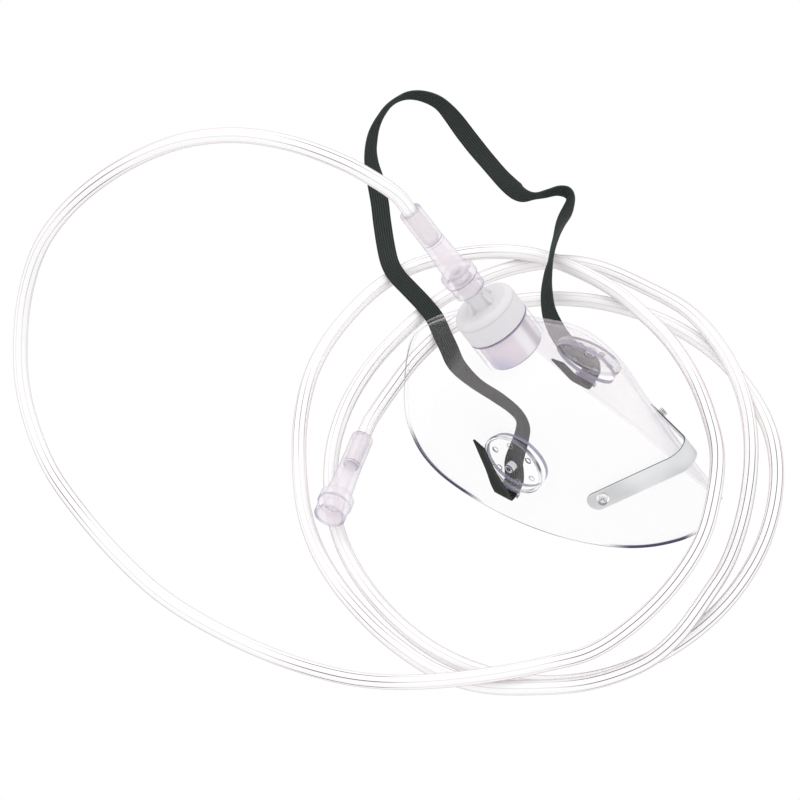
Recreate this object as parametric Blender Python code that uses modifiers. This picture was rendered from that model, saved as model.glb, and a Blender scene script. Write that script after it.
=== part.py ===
"""Adult oxygen face mask with its tube, connectors, nose clip and head strap.

Metres, +Z up. The mask rests on its cheeks with its open side down, its chin
towards -X and its nose towards +X, alike on both sides of one upright plane.
Every outline and route is measured from the point below the chin tip, and all
objects share one offset that brings the origin below the middle of the mask
and its strap.
"""

import math

import bmesh
import bpy
from mathutils import Matrix, Vector
from mathutils.bvhtree import BVHTree

MM = 0.001

# Where the origin lies, seen from the point below the chin tip
CENTRE_X = 28.678 * MM
CENTRE_Y = 43.727 * MM

# Gap between pieces that touch, and the reach of lines and cuts past a wall
CLEARANCE = 0.3 * MM
REACH = 12.0 * MM

# Soft shell
WALL = 1.5 * MM
RIM_STATIONS = (
    # In millimetres: along, half width and height of the rim, then how the
    # wall leaves it: forward, inward and upward
    (0.0, 0.0, 38.0, -2.5, 0.0, 10.0),
    (8.5, 22.1, 30.0, -1.5, -1.0, 13.0),
    (18.4, 32.0, 20.4, 0.0, 1.0, 18.0),
    (32.7, 36.1, 11.5, 2.0, 6.0, 27.0),
    (54.0, 35.2, 3.6, 0.0, 12.0, 37.0),
    (75.0, 32.6, 0.6, 2.0, 8.0, 46.0),
    (94.0, 28.4, 0.45, 0.0, 6.0, 52.0),
    (112.0, 22.4, 3.0, -6.0, 10.0, 42.0),
    (126.0, 15.8, 9.0, -12.0, 8.0, 33.0),
    (135.6, 9.0, 17.5, -15.0, 4.0, 26.0),
    (139.5, 0.0, 32.0, -16.0, 0.0, 20.0),
)
SHELL_STEPS_AROUND = 30
SHELL_STEPS_UP = 12

# Port: a round neck that leans towards the chin
PORT_LEAN = math.radians(49.5)
PORT_TOP_X = 37.3 * MM
PORT_TOP_Z = 75.4 * MM
NECK_RADIUS = 13.0 * MM
NECK_LENGTH = 13.0 * MM
NECK_TURN = 0.08
FLARE_AT_CHIN = math.radians(-25.0)
FLARE_AT_NOSE = math.radians(40.5)
FLARE_REACH_CHIN = 13.0 * MM
FLARE_REACH_SIDE = 14.0 * MM
FLARE_REACH_NOSE = 47.0 * MM

# Vent disc on each cheek
DISC_RADIUS = 13.7 * MM
DISC_X = 63.3 * MM
DISC_Z = 34.4 * MM
DISC_TURN = math.radians(6.0)
DISC_PROUD = 0.3 * MM
DISC_PLATE = 1.4 * MM
DISC_SKIRT = 1.4 * MM
BEAD_WIDTH = 1.2 * MM
BEAD_HEIGHT = 0.6 * MM
VENT_COUNT = 6
VENT_CIRCLE_RADIUS = 9.2 * MM
VENT_HOLE_RADIUS = 1.1 * MM
VENT_TURN = math.radians(10.0)
PEG_RADIUS = 2.0 * MM
PEG_BORE_RADIUS = 1.0 * MM
PEG_HEIGHT = 3.4 * MM

# Head strap, and the slot for it below each disc
STRAP_WIDTH = 7.6 * MM
STRAP_THICKNESS = 1.1 * MM
SLOT_X = 62.0 * MM
SLOT_Z = 15.3 * MM
SLOT_PLAY = 0.8 * MM

# Nose clip: a strip bent over the ridge, and the two pins that hold it
CLIP_APEX_X = 123.2 * MM
CLIP_APEX_Z = 52.6 * MM
CLIP_TILT = math.radians(47.3)
CLIP_WIDTH = 8.4 * MM
CLIP_THICKNESS = 0.7 * MM
CLIP_BEND_RADIUS = 7.0 * MM
CLIP_BEND_STEPS = 8
CLIP_PIN_HALF_SPAN = 22.6 * MM
CLIP_PIN_DROP = 32.0 * MM
CLIP_END_PAST_PIN = 6.6 * MM
CLIP_END_STEPS = 5
PIN_RADIUS = 1.7 * MM
PIN_BORE_RADIUS = 0.9 * MM
PIN_PROUD = 2.0 * MM
PIN_PLAY = 0.9 * MM

# Inlet adapter: plug in the neck, cap with a rounded shoulder, tapered nozzle
PLUG_DEPTH = 14.0 * MM
PLUG_WALL = 1.8 * MM
CAP_SIDE = 8.8 * MM
CAP_ROUND = 2.8 * MM
CAP_TOP = 2.4 * MM
NOZZLE_ROOT_RADIUS = 4.9 * MM
NOZZLE_TIP_RADIUS = 3.3 * MM
NOZZLE_BORE_RADIUS = 1.7 * MM
NOZZLE_LENGTH = 17.0 * MM
GUSSET_HEIGHT = 5.0 * MM
GUSSET_REACH = 2.6 * MM
GUSSET_THICKNESS = 1.2 * MM

# Tube, and the connector on both of its ends
TUBE_RADIUS = 3.0 * MM
CUFF_LENGTH = 42.5 * MM
CUFF_ABOVE_NECK = 19.0 * MM
CUFF_SLEEVE_RADIUS = 4.5 * MM
CUFF_BODY_RADIUS = 5.2 * MM
CUFF_FLANGE_RADIUS = 7.0 * MM
CUFF_FLANGE_LENGTH = 4.2 * MM
CUFF_SKIRT_RADIUS = 6.4 * MM
CUFF_SKIRT_LENGTH = 6.2 * MM
CUFF_MOUTH_RADIUS = 5.3 * MM
CUFF_FUNNEL_DEPTH = 8.0 * MM
CUFF_BORE_RADIUS = 2.2 * MM
CUFF_POCKET_DEPTH = 15.4 * MM

# Where the free connector lies: the middles of its tube end and of its mouth
FREE_CUFF_TUBE_END = (-2.0, -36.7, 8.6)
FREE_CUFF_MOUTH = (8.0, -77.5, 15.4)

TURN_STEPS = 32
SMALL_TURN_STEPS = 14

# The tube between its two connectors, in millimetres from below the chin tip
TUBE_ROUTE = (
    (-16.0, -2.6, 135.5), (-29.0, -6.0, 142.0), (-49.0, -10.0, 144.0), (-70.0, -14.5, 139.5),
    (-90.0, -20.5, 129.0), (-107.0, -27.5, 114.5), (-122.0, -35.5, 97.0), (-134.0, -44.5, 78.0),
    (-141.0, -54.0, 60.0), (-142.0, -65.0, 43.0), (-138.0, -77.0, 28.5), (-130.0, -89.5, 17.0),
    (-118.0, -101.0, 9.0), (-102.0, -112.0, 4.5), (-83.0, -121.0, 3.4), (-59.0, -130.0, 3.4),
    (-33.0, -136.5, 3.4), (-7.0, -138.0, 3.4), (20.0, -136.0, 3.4), (44.0, -131.0, 4.0),
    (63.0, -125.0, 7.4), (82.0, -115.0, 11.2), (100.0, -102.0, 13.8), (114.0, -90.0, 16.0),
    (127.0, -77.0, 18.5), (136.5, -60.8, 25.5), (142.2, -43.0, 33.0), (143.4, -24.5, 39.0),
    (139.6, -8.3, 43.6), (130.6, 11.8, 41.8), (116.4, 31.6, 32.5), (99.3, 50.5, 22.0),
    (82.0, 64.0, 15.0), (66.0, 72.0, 11.0), (48.0, 77.0, 10.0), (28.0, 77.5, 9.8),
    (11.0, 74.5, 9.8), (-5.0, 68.5, 7.0), (-19.0, 60.0, 3.4), (-30.0, 47.0, 3.4),
    (-37.0, 30.0, 3.4), (-40.0, 10.0, 3.4), (-39.5, -9.0, 3.4), (-35.0, -27.0, 3.4),
    (-25.0, -48.0, 3.4), (-9.0, -71.0, 3.4), (6.0, -85.5, 3.4), (22.0, -95.5, 3.4),
    (39.0, -102.5, 3.4), (56.0, -107.0, 3.4), (76.0, -109.0, 3.6), (95.0, -106.5, 6.4),
    (114.0, -98.0, 9.8), (131.0, -85.0, 9.6), (144.0, -68.0, 9.8), (149.5, -51.0, 9.8),
    (150.5, -29.0, 8.4), (149.0, -7.0, 3.8), (143.5, 16.0, 3.4), (134.5, 38.0, 3.9),
    (123.5, 55.0, 6.6), (111.0, 67.0, 9.8), (96.0, 77.0, 10.2), (79.0, 84.5, 8.8),
    (58.0, 88.5, 4.0), (37.0, 87.5, 3.4), (21.0, 81.5, 3.4), (8.0, 71.0, 3.4),
    (-3.0, 56.5, 3.4), (-12.0, 38.0, 3.4), (-17.0, 16.0, 3.4), (-19.0, -5.0, 3.4),
    (-17.0, -26.0, 3.4), (-10.5, -46.0, 3.4), (1.0, -65.0, 3.4), (15.5, -80.0, 3.4),
    (33.0, -91.0, 3.4), (53.0, -98.5, 3.4), (73.0, -101.5, 3.4), (93.0, -99.5, 3.4),
    (113.5, -92.0, 3.4), (132.0, -77.5, 3.4), (146.5, -57.0, 3.4), (155.0, -34.5, 3.4),
    (158.0, -12.0, 3.4), (156.0, 11.0, 3.4), (148.5, 33.5, 3.4), (136.5, 52.0, 3.4),
    (120.0, 65.5, 3.4), (100.5, 74.5, 3.4), (80.0, 78.0, 3.4), (60.0, 76.5, 3.4),
    (41.0, 71.0, 3.4), (23.0, 61.0, 3.4), (8.5, 47.5, 3.4), (-1.0, 30.0, 3.4),
    (-5.4, 10.0, 3.4), (-5.5, -9.5, 4.6), (-4.6, -23.0, 6.6),
)
TUBE_POINTS = 84
TUBE_FINE_STEPS = 12
TUBE_STRAIGHT = 8.0 * MM

# The strap, in millimetres and degrees: along, across, height and lean. Between
# the slots lean is 0 where the strap lies flat and 90 where it stands on its
# edge. The tails are measured from the middle of their slot, and lean there is
# the twist since the slot.
NEAR_TAIL = (
    (0.0, -3.9, 1.2, 0.0), (-0.3, -4.8, 4.0, 0.0), (-1.6, -5.3, 8.8, 0.0), (-4.1, -5.7, 16.0, 12.0),
    (-7.4, -5.9, 24.6, 17.0), (-10.8, -5.9, 33.6, 18.0),
)
NEAR_RUN = (
    (61.4, -25.0, 14.9, 2.0), (59.2, -21.2, 14.0, 8.0), (56.4, -16.6, 12.4, 18.0),
    (54.0, -9.6, 10.0, 36.0), (51.6, -2.0, 7.8, 46.0), (48.4, 4.2, 6.2, 46.0), (42.2, 8.2, 5.1, 36.0),
    (33.0, 10.3, 4.6, 28.0), (22.0, 11.1, 5.4, 26.0), (12.0, 13.5, 7.2, 8.0),
    (5.0, 18.5, 7.9, 0.0), (-1.0, 23.0, 8.0, 0.0), (-7.5, 28.0, 8.0, 0.0), (-15.0, 31.5, 8.0, 0.0),
    (-23.0, 34.5, 7.9, 0.0), (-31.0, 37.5, 7.8, 0.0), (-37.0, 41.5, 7.2, 0.0), (-44.0, 49.5, 4.0, 0.0),
    (-53.0, 61.0, 1.1, 0.0), (-59.5, 69.5, 1.1, 0.0), (-66.5, 77.5, 2.0, 15.0), (-72.0, 83.5, 3.2, 38.0),
    (-76.0, 89.5, 3.9, 56.0), (-78.6, 95.5, 4.2, 68.0), (-80.3, 102.0, 4.4, 85.0),
    (-81.0, 109.0, 4.5, 97.0), (-80.0, 115.5, 4.5, 108.0), (-77.0, 120.5, 4.5, 104.0),
    (-71.5, 123.5, 4.5, 92.0), (-64.0, 124.2, 4.4, 76.0), (-56.0, 121.8, 3.6, 52.0),
    (-46.0, 117.3, 2.2, 24.0), (-38.0, 113.7, 1.4, 8.0), (-30.0, 110.2, 1.1, 0.0),
    (-21.5, 106.5, 1.2, 5.0), (-14.0, 103.4, 2.6, 35.0), (-8.6, 102.3, 4.3, 82.0),
    (-4.6, 103.6, 4.7, 106.0), (-1.0, 107.2, 4.7, 102.0), (2.6, 111.2, 4.7, 96.0),
    (6.6, 112.2, 4.7, 84.0), (9.4, 108.6, 5.0, 58.0), (12.0, 100.0, 6.4, 42.0), (15.4, 89.5, 11.8, 60.0),
    (18.6, 80.0, 17.2, 70.0), (21.2, 72.5, 18.2, 75.0), (23.4, 66.5, 16.8, 67.0),
    (26.6, 60.0, 13.4, 59.0), (31.5, 53.6, 10.4, 53.0), (38.4, 48.0, 9.6, 41.0),
    (45.6, 43.4, 10.8, 36.0), (52.0, 40.8, 12.4, 44.0), (58.1, 39.3, 14.0, 32.0),
    (61.4, 35.9, 15.1, 10.0),
)
FAR_TAIL = (
    (0.0, -3.6, 0.9, 0.0), (-0.5, -5.1, 3.6, 0.0), (-2.0, -6.6, 8.0, 0.0), (-4.8, -7.8, 13.0, 0.0),
    (-8.6, -9.0, 18.4, 0.0),
)
SLOT_STRAIGHT = 2.2
STRAP_STEPS = 3

OFFSET = Vector((-CENTRE_X, -CENTRE_Y, 0.0))
UP = Vector((0.0, 0.0, 1.0))
PORT_AXIS = Vector((-math.cos(PORT_LEAN), 0.0, math.sin(PORT_LEAN)))
PORT_ACROSS = Vector((math.sin(PORT_LEAN), 0.0, math.cos(PORT_LEAN)))
PORT_TOP = Vector((PORT_TOP_X, 0.0, PORT_TOP_Z))
NECK_FOOT = PORT_TOP - PORT_AXIS * NECK_LENGTH
CLIP_ALONG = Vector((math.cos(math.pi / 2 - CLIP_TILT), 0.0, math.sin(math.pi / 2 - CLIP_TILT)))
CLIP_ACROSS = Vector((-CLIP_ALONG.z, 0.0, CLIP_ALONG.x))


# Scene

def start():
    """An empty file with one collection for the parts and one for the cutters."""
    for thing in list(bpy.data.objects):
        bpy.data.objects.remove(thing)
    groups = []
    for name in ("oxygen_mask", "cutters"):
        group = bpy.data.collections.new(name)
        bpy.context.scene.collection.children.link(group)
        groups.append(group)
    return groups


def finish(name, colour, roughness, metallic=0.0):
    """A plain material."""
    made = bpy.data.materials.new(name)
    made.use_nodes = True
    shader = made.node_tree.nodes["Principled BSDF"]
    shader.inputs["Base Color"].default_value = (*colour, 1.0)
    shader.inputs["Roughness"].default_value = roughness
    shader.inputs["Metallic"].default_value = metallic
    return made


def add(name, data, group, material=None):
    """Put a mesh or a curve in its collection, with the offset that all share."""
    item = bpy.data.objects.new(name, data)
    item.location = OFFSET
    group.objects.link(item)
    if material:
        data.materials.append(material)
    else:
        item.hide_render = True
        item.display_type = "WIRE"
    return item


def smooth(item, angle=40.0):
    """Round shading with sharp edges kept."""
    item.data.shade_smooth()
    item.data.set_sharp_from_angle(angle=math.radians(angle))


def modifier(item, kind, **settings):
    """A modifier with its settings."""
    made = item.modifiers.new(kind.title(), kind)
    for key, value in settings.items():
        setattr(made, key, value)
    return made


def mirrored(item):
    """The same piece on both cheeks."""
    modifier(item, "MIRROR", use_axis=(False, True, False), merge_threshold=0.00001)
    return item


def combine(item, tool, operation, solver="EXACT"):
    """Cut or join with another solid."""
    modifier(item, "BOOLEAN", object=tool, operation=operation, solver=solver)


def set_upright(mesh, foot, direction):
    """Stand a mesh that was made along +Z on a point, along a direction."""
    turn = direction.to_track_quat("Z", "Y").to_matrix().to_4x4()
    mesh.transform(Matrix.Translation(foot) @ turn)


# Curves

def catmull_rom(before, start_value, end_value, after, share):
    """The smooth curve between two of four values."""
    square = share * share
    cube = square * share
    return 0.5 * (
        2.0 * start_value
        + (end_value - before) * share
        + (2.0 * before - 5.0 * start_value + 4.0 * end_value - after) * square
        + (3.0 * start_value - before - 3.0 * end_value + after) * cube
    )


def through(points, position, before=None, after=None):
    """A point on the smooth curve through points, at a position counted in points."""
    before = before or tuple(2 * a - b for a, b in zip(points[0], points[1]))
    after = after or tuple(2 * a - b for a, b in zip(points[-1], points[-2]))
    padded = [before, *points, after]
    first = min(int(position), len(points) - 2)
    return [catmull_rom(*four, position - first) for four in zip(*padded[first:first + 4])]


def mix(low, high, share):
    return low + (high - low) * share


# Turned pieces

def turned(name, profile, steps=TURN_STEPS):
    """A solid turned round +Z from (radius, height) pairs down its outer side.

    A profile that starts off the axis is closed, for a piece with a bore.
    """
    mesh = bpy.data.meshes.new(name)
    shape = bmesh.new()
    corners = [shape.verts.new((radius, 0.0, height)) for radius, height in profile]
    for here, there in zip(corners, corners[1:]):
        shape.edges.new((here, there))
    if profile[0][0] > 0.0:
        shape.edges.new((corners[-1], corners[0]))
    shape.to_mesh(mesh)
    shape.free()
    blank = bpy.data.objects.new(name, mesh)
    bpy.context.scene.collection.objects.link(blank)
    modifier(blank, "SCREW", steps=steps, render_steps=steps, use_merge_vertices=True,
             merge_threshold=0.00001, use_normal_calculate=True)
    solid = baked(blank)
    bpy.data.objects.remove(blank)
    return solid


def baked(item):
    """The mesh of an object with its modifiers applied, closed and facing out."""
    seen = item.evaluated_get(bpy.context.evaluated_depsgraph_get())
    mesh = bpy.data.meshes.new_from_object(seen)
    shape = bmesh.new()
    shape.from_mesh(mesh)
    bmesh.ops.remove_doubles(shape, verts=shape.verts, dist=0.000001)
    bmesh.ops.recalc_face_normals(shape, faces=shape.faces)
    shape.to_mesh(mesh)
    shape.free()
    return mesh


def rod(name, radius, low, high, steps=SMALL_TURN_STEPS):
    """A round bar along +Z, often a cutter."""
    mesh = bpy.data.meshes.new(name)
    shape = bmesh.new()
    middle = Matrix.Translation((0.0, 0.0, (low + high) / 2))
    bmesh.ops.create_cone(shape, cap_ends=True, segments=steps, radius1=radius, radius2=radius,
                          depth=high - low, matrix=middle)
    shape.to_mesh(mesh)
    shape.free()
    return mesh


def block(name, size, foot):
    """A box with the middle of its lower face on a point."""
    mesh = bpy.data.meshes.new(name)
    shape = bmesh.new()
    place = Matrix.Translation(Vector(foot) + Vector((0.0, 0.0, size[2] / 2)))
    bmesh.ops.create_cube(shape, size=1.0, matrix=place @ Matrix.Diagonal((*size, 1.0)))
    shape.to_mesh(mesh)
    shape.free()
    return mesh


def joined(name, meshes):
    """Several meshes in one."""
    shape = bmesh.new()
    for mesh in meshes:
        shape.from_mesh(mesh)
    whole = bpy.data.meshes.new(name)
    shape.to_mesh(whole)
    shape.free()
    return whole


# Shell

def dome_point(around, up):
    """A point on the outside of the dome on its +Y half.

    around runs from 0 at the chin to 1 at the nose, up from 0 at the rim to 1
    at the foot of the neck.
    """
    first, last = RIM_STATIONS[1], RIM_STATIONS[-2]
    signs = (1, -1, 1, 1, -1, 1)
    before = tuple(value * sign for value, sign in zip(first, signs))
    after = tuple(value * sign for value, sign in zip(last, signs))
    station = through(RIM_STATIONS, around * (len(RIM_STATIONS) - 1), before, after)
    along, half_width, height, forward, inward, upward = (value * MM for value in station)
    rim = Vector((along, half_width, height))
    leave = rim + Vector((forward, -inward, upward))
    turn = math.pi * (1.0 - around - NECK_TURN * math.sin(math.pi * around))
    radial = PORT_ACROSS * math.cos(turn) + Vector((0.0, math.sin(turn), 0.0))
    neck = NECK_FOOT + radial * NECK_RADIUS
    slope = mix(FLARE_AT_CHIN, FLARE_AT_NOSE, around)
    if around < 0.5:
        reach = mix(FLARE_REACH_CHIN, FLARE_REACH_SIDE, around * 2)
    else:
        reach = mix(FLARE_REACH_SIDE, FLARE_REACH_NOSE, around * 2 - 1)
    arrive = neck + (radial * math.cos(slope) - PORT_AXIS * math.sin(slope)) * reach
    down = 1.0 - up
    return (rim * down ** 3 + leave * 3 * down * down * up
            + arrive * 3 * down * up * up + neck * up ** 3)


def shell_half():
    """The outside of the +Y half, from the rim up over the dome and the neck."""
    rows = []
    for step in range(SHELL_STEPS_AROUND + 1):
        around = step / SHELL_STEPS_AROUND
        row = [dome_point(around, level / SHELL_STEPS_UP) for level in range(SHELL_STEPS_UP + 1)]
        row.append(row[-1] + PORT_AXIS * NECK_LENGTH)
        if step in (0, SHELL_STEPS_AROUND):
            for point in row:
                point.y = 0.0
        rows.append(row)
    width = len(rows[0])
    points = [point for row in rows for point in row]
    faces = []
    for step in range(SHELL_STEPS_AROUND):
        for level in range(width - 1):
            corner = step * width + level
            faces.append((corner, corner + 1, corner + width + 1, corner + width))
    return points, faces


def wall_point(tree, along, height):
    """Where the wall's outside lies on the +Y cheek."""
    start_point = Vector((along, CENTRE_Y * 2, height))
    return tree.ray_cast(start_point, Vector((0.0, -1.0, 0.0)))[0]


def cheek_seat(tree):
    """The middle of a vent disc on the cheek, and the way it faces."""
    span = DISC_RADIUS * 0.8
    fore = wall_point(tree, DISC_X + span, DISC_Z)
    aft = wall_point(tree, DISC_X - span, DISC_Z)
    top = wall_point(tree, DISC_X, DISC_Z + span)
    low = wall_point(tree, DISC_X, DISC_Z - span)
    facing = Matrix.Rotation(DISC_TURN, 3, "Z") @ (top - low).cross(fore - aft).normalized()
    return (fore + aft + top + low) / 4, facing


def vent_disc(tree, cutters):
    """The flat disc with its bead, holes and hollow peg, and the hole it fills."""
    seat, facing = cheek_seat(tree)
    side = facing.cross(UP).normalized()
    upright = side.cross(facing)
    depths = []
    for step in range(TURN_STEPS):
        turn = 2 * math.pi * step / TURN_STEPS
        edge = seat + (side * math.cos(turn) + upright * math.sin(turn)) * DISC_RADIUS
        depths.append((wall_point(tree, edge.x, edge.z) - seat).dot(facing))
    top = max(0.0, *depths) + DISC_PROUD
    low = min(depths) - WALL
    inner = DISC_RADIUS - DISC_SKIRT
    bead_inner = DISC_RADIUS - BEAD_WIDTH
    drum = turned("vent_disc", (
        (0.0, top), (PEG_BORE_RADIUS, top), (PEG_BORE_RADIUS, top + PEG_HEIGHT),
        (PEG_RADIUS, top + PEG_HEIGHT), (PEG_RADIUS, top), (bead_inner, top),
        (bead_inner, top + BEAD_HEIGHT), (DISC_RADIUS, top + BEAD_HEIGHT), (DISC_RADIUS, low),
        (inner, low), (inner, top - DISC_PLATE), (0.0, top - DISC_PLATE),
    ))
    holes = []
    for step in range(VENT_COUNT):
        turn = 2 * math.pi * step / VENT_COUNT + VENT_TURN
        hole = rod("vent_hole", VENT_HOLE_RADIUS, top - DISC_PLATE * 2, top + DISC_PLATE, 10)
        hole.transform(Matrix.Translation((VENT_CIRCLE_RADIUS * math.cos(turn),
                                           VENT_CIRCLE_RADIUS * math.sin(turn), 0.0)))
        holes.append(hole)
    holes = joined("vent_holes", holes)
    bore = rod("cheek_bore", DISC_RADIUS - DISC_SKIRT / 2, low - REACH, top + REACH, TURN_STEPS)
    for mesh in (drum, holes, bore):
        set_upright(mesh, seat, facing)
    disc = add("vent_disc", drum, cutters)
    combine(disc, add("vent_holes", holes, cutters), "DIFFERENCE")
    return mirrored(add("cheek_bore", bore, cutters)), mirrored(disc)


def slot_middle(tree):
    """The middle of the strap slot in the +Y cheek."""
    outside = wall_point(tree, SLOT_X, SLOT_Z)
    return outside - Vector((0.0, WALL / 2, 0.0))


def strap_slot(tree, cutters):
    """The cut for the strap."""
    size = (STRAP_WIDTH + 2 * SLOT_PLAY, REACH, STRAP_THICKNESS + 2 * SLOT_PLAY)
    cut = block("strap_slot", size, slot_middle(tree) - Vector((0.0, 0.0, size[2] / 2)))
    return mirrored(add("strap_slot", cut, cutters))


def clip_pin(tree, cutters):
    """A hollow pin that stands on the wall and passes through the clip's hole."""
    middle, facing = clip_place(clip_pin_distance())
    foot = tree.ray_cast(middle + facing * REACH, -facing)[0]
    root = (foot - middle).dot(facing) - WALL / 2
    tip = CLIP_THICKNESS / 2 + PIN_PROUD
    pin = turned("clip_pin", (
        (0.0, 0.0), (PIN_BORE_RADIUS, 0.0), (PIN_BORE_RADIUS, tip), (PIN_RADIUS, tip),
        (PIN_RADIUS, root), (0.0, root),
    ), SMALL_TURN_STEPS)
    set_upright(pin, middle, facing)
    return mirrored(add("clip_pin", pin, cutters))


def mask_shell(parts, cutters, material):
    """The one moulding: dome, neck, vent discs, slots and clip pins."""
    points, faces = shell_half()
    tree = BVHTree.FromPolygons(points, faces)
    mesh = bpy.data.meshes.new("mask_shell")
    mesh.from_pydata(points, [], faces)
    shell = add("mask_shell", mesh, parts, material)
    modifier(shell, "MIRROR", use_axis=(False, True, False), use_clip=True, merge_threshold=0.00001)
    modifier(shell, "SOLIDIFY", thickness=WALL, offset=-1.0, use_even_offset=True)
    bore, disc = vent_disc(tree, cutters)
    for tool, operation in (
        (bore, "DIFFERENCE"),
        (disc, "UNION"),
        (strap_slot(tree, cutters), "DIFFERENCE"),
        (clip_pin(tree, cutters), "UNION"),
    ):
        combine(shell, tool, operation, "MANIFOLD")
    smooth(shell)
    return tree


# Nose clip

def clip_half_bend():
    """Half the angle that the clip turns over the ridge, and a leg's length to its pin."""
    rise = CLIP_PIN_DROP - CLIP_BEND_RADIUS
    reach = math.hypot(CLIP_PIN_HALF_SPAN, rise)
    lean = math.atan2(CLIP_PIN_HALF_SPAN, rise) - math.asin(CLIP_BEND_RADIUS / reach)
    return math.pi / 2 - lean, math.sqrt(reach ** 2 - CLIP_BEND_RADIUS ** 2)


def clip_pin_distance():
    """The way along the strip from the middle of its bend to a pin."""
    bend, leg = clip_half_bend()
    return CLIP_BEND_RADIUS * bend + leg


def clip_place(distance):
    """A point on the strip's middle surface and the way it faces there."""
    bend, _ = clip_half_bend()
    angle = max(-bend, min(bend, distance / CLIP_BEND_RADIUS))
    straight = distance - CLIP_BEND_RADIUS * angle
    across = CLIP_BEND_RADIUS * math.sin(angle) + straight * math.cos(angle)
    drop = CLIP_BEND_RADIUS * (1 - math.cos(angle)) + straight * math.sin(angle)
    point = Vector((CLIP_APEX_X, across, CLIP_APEX_Z)) - CLIP_ALONG * drop
    facing = Vector((0.0, math.sin(angle), 0.0)) + CLIP_ALONG * math.cos(angle)
    return point, facing


def nose_clip(parts, cutters, material):
    """A flat strip with round ends, bent over the ridge, with a hole for each pin."""
    half_length = clip_pin_distance() + CLIP_END_PAST_PIN
    size = (2 * half_length, CLIP_WIDTH, CLIP_THICKNESS)
    shape = bmesh.new()
    bmesh.ops.create_cube(shape, size=1.0, matrix=Matrix.Diagonal((*size, 1.0)))
    corners = [edge for edge in shape.edges
               if abs((edge.verts[0].co - edge.verts[1].co).z) > CLIP_THICKNESS / 2]
    bmesh.ops.bevel(shape, geom=corners, offset=CLIP_WIDTH * 0.48, segments=CLIP_END_STEPS, profile=0.5,
                    affect="EDGES", material=-1)
    bend, _ = clip_half_bend()
    for step in range(-CLIP_BEND_STEPS, CLIP_BEND_STEPS + 1):
        cut = Vector((CLIP_BEND_RADIUS * bend * step / CLIP_BEND_STEPS, 0.0, 0.0))
        geometry = list(shape.verts) + list(shape.edges) + list(shape.faces)
        bmesh.ops.bisect_plane(shape, geom=geometry, plane_co=cut, plane_no=Vector((1.0, 0.0, 0.0)))
    for corner in shape.verts:
        distance, across, height = corner.co
        point, facing = clip_place(distance)
        corner.co = point + CLIP_ACROSS * across + facing * height
    mesh = bpy.data.meshes.new("nose_clip")
    shape.to_mesh(mesh)
    shape.free()
    clip = add("nose_clip", mesh, parts, material)
    hole = rod("clip_hole", PIN_RADIUS + PIN_PLAY, -REACH / 2, REACH / 2)
    set_upright(hole, *clip_place(clip_pin_distance()))
    combine(clip, mirrored(add("clip_hole", hole, cutters)), "DIFFERENCE")


# Inlet adapter

def inlet_adapter(parts, cutters, material):
    """Plug, cap and nozzle turned in one, gussets, and the way through."""
    plug = NECK_RADIUS - WALL - CLEARANCE
    cap = NECK_RADIUS
    top = CAP_SIDE + CAP_ROUND
    outer = [(0.0, top + NOZZLE_LENGTH), (NOZZLE_TIP_RADIUS, top + NOZZLE_LENGTH), (NOZZLE_ROOT_RADIUS, top)]
    for step in range(7):
        turn = math.radians(15.0 * step)
        outer.append((cap - CAP_ROUND + CAP_ROUND * math.sin(turn),
                      CAP_SIDE + CAP_ROUND * math.cos(turn)))
    outer += [(cap, CLEARANCE), (plug, CLEARANCE), (plug, -PLUG_DEPTH), (0.0, -PLUG_DEPTH)]
    hollow = plug - PLUG_WALL
    ceiling = top - CAP_TOP
    inner = turned("adapter_way", (
        (0.0, top + NOZZLE_LENGTH + REACH), (NOZZLE_BORE_RADIUS, top + NOZZLE_LENGTH + REACH),
        (NOZZLE_BORE_RADIUS, ceiling), (hollow - CAP_ROUND, ceiling), (hollow, ceiling - CAP_ROUND),
        (hollow, -PLUG_DEPTH - REACH), (0.0, -PLUG_DEPTH - REACH),
    ))
    body = turned("inlet_adapter", outer)
    foot = top - CAP_TOP / 2
    spread = 2 * (NOZZLE_ROOT_RADIUS + GUSSET_REACH)
    plates = []
    for size in ((spread, GUSSET_THICKNESS), (GUSSET_THICKNESS, spread)):
        plate = block("gusset", (*size, GUSSET_HEIGHT + CAP_TOP / 2), (0.0, 0.0, foot))
        for corner in plate.vertices:
            if corner.co.z > top:
                share = (spread - 2 * GUSSET_REACH) / spread
                corner.co.x *= share if size[0] == spread else 1.0
                corner.co.y *= share if size[1] == spread else 1.0
        plates.append(plate)
    for mesh in (body, inner, *plates):
        set_upright(mesh, PORT_TOP, PORT_AXIS)
    adapter = add("inlet_adapter", body, parts, material)
    for plate in plates:
        combine(adapter, add("gusset", plate, cutters), "UNION")
    combine(adapter, add("adapter_way", inner, cutters), "DIFFERENCE")
    smooth(adapter)


# Tube and connectors

def nozzle_radius(above_neck):
    """The nozzle's radius at a distance above the neck."""
    root = CAP_SIDE + CAP_ROUND
    return mix(NOZZLE_ROOT_RADIUS, NOZZLE_TIP_RADIUS, (above_neck - root) / NOZZLE_LENGTH)


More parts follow.
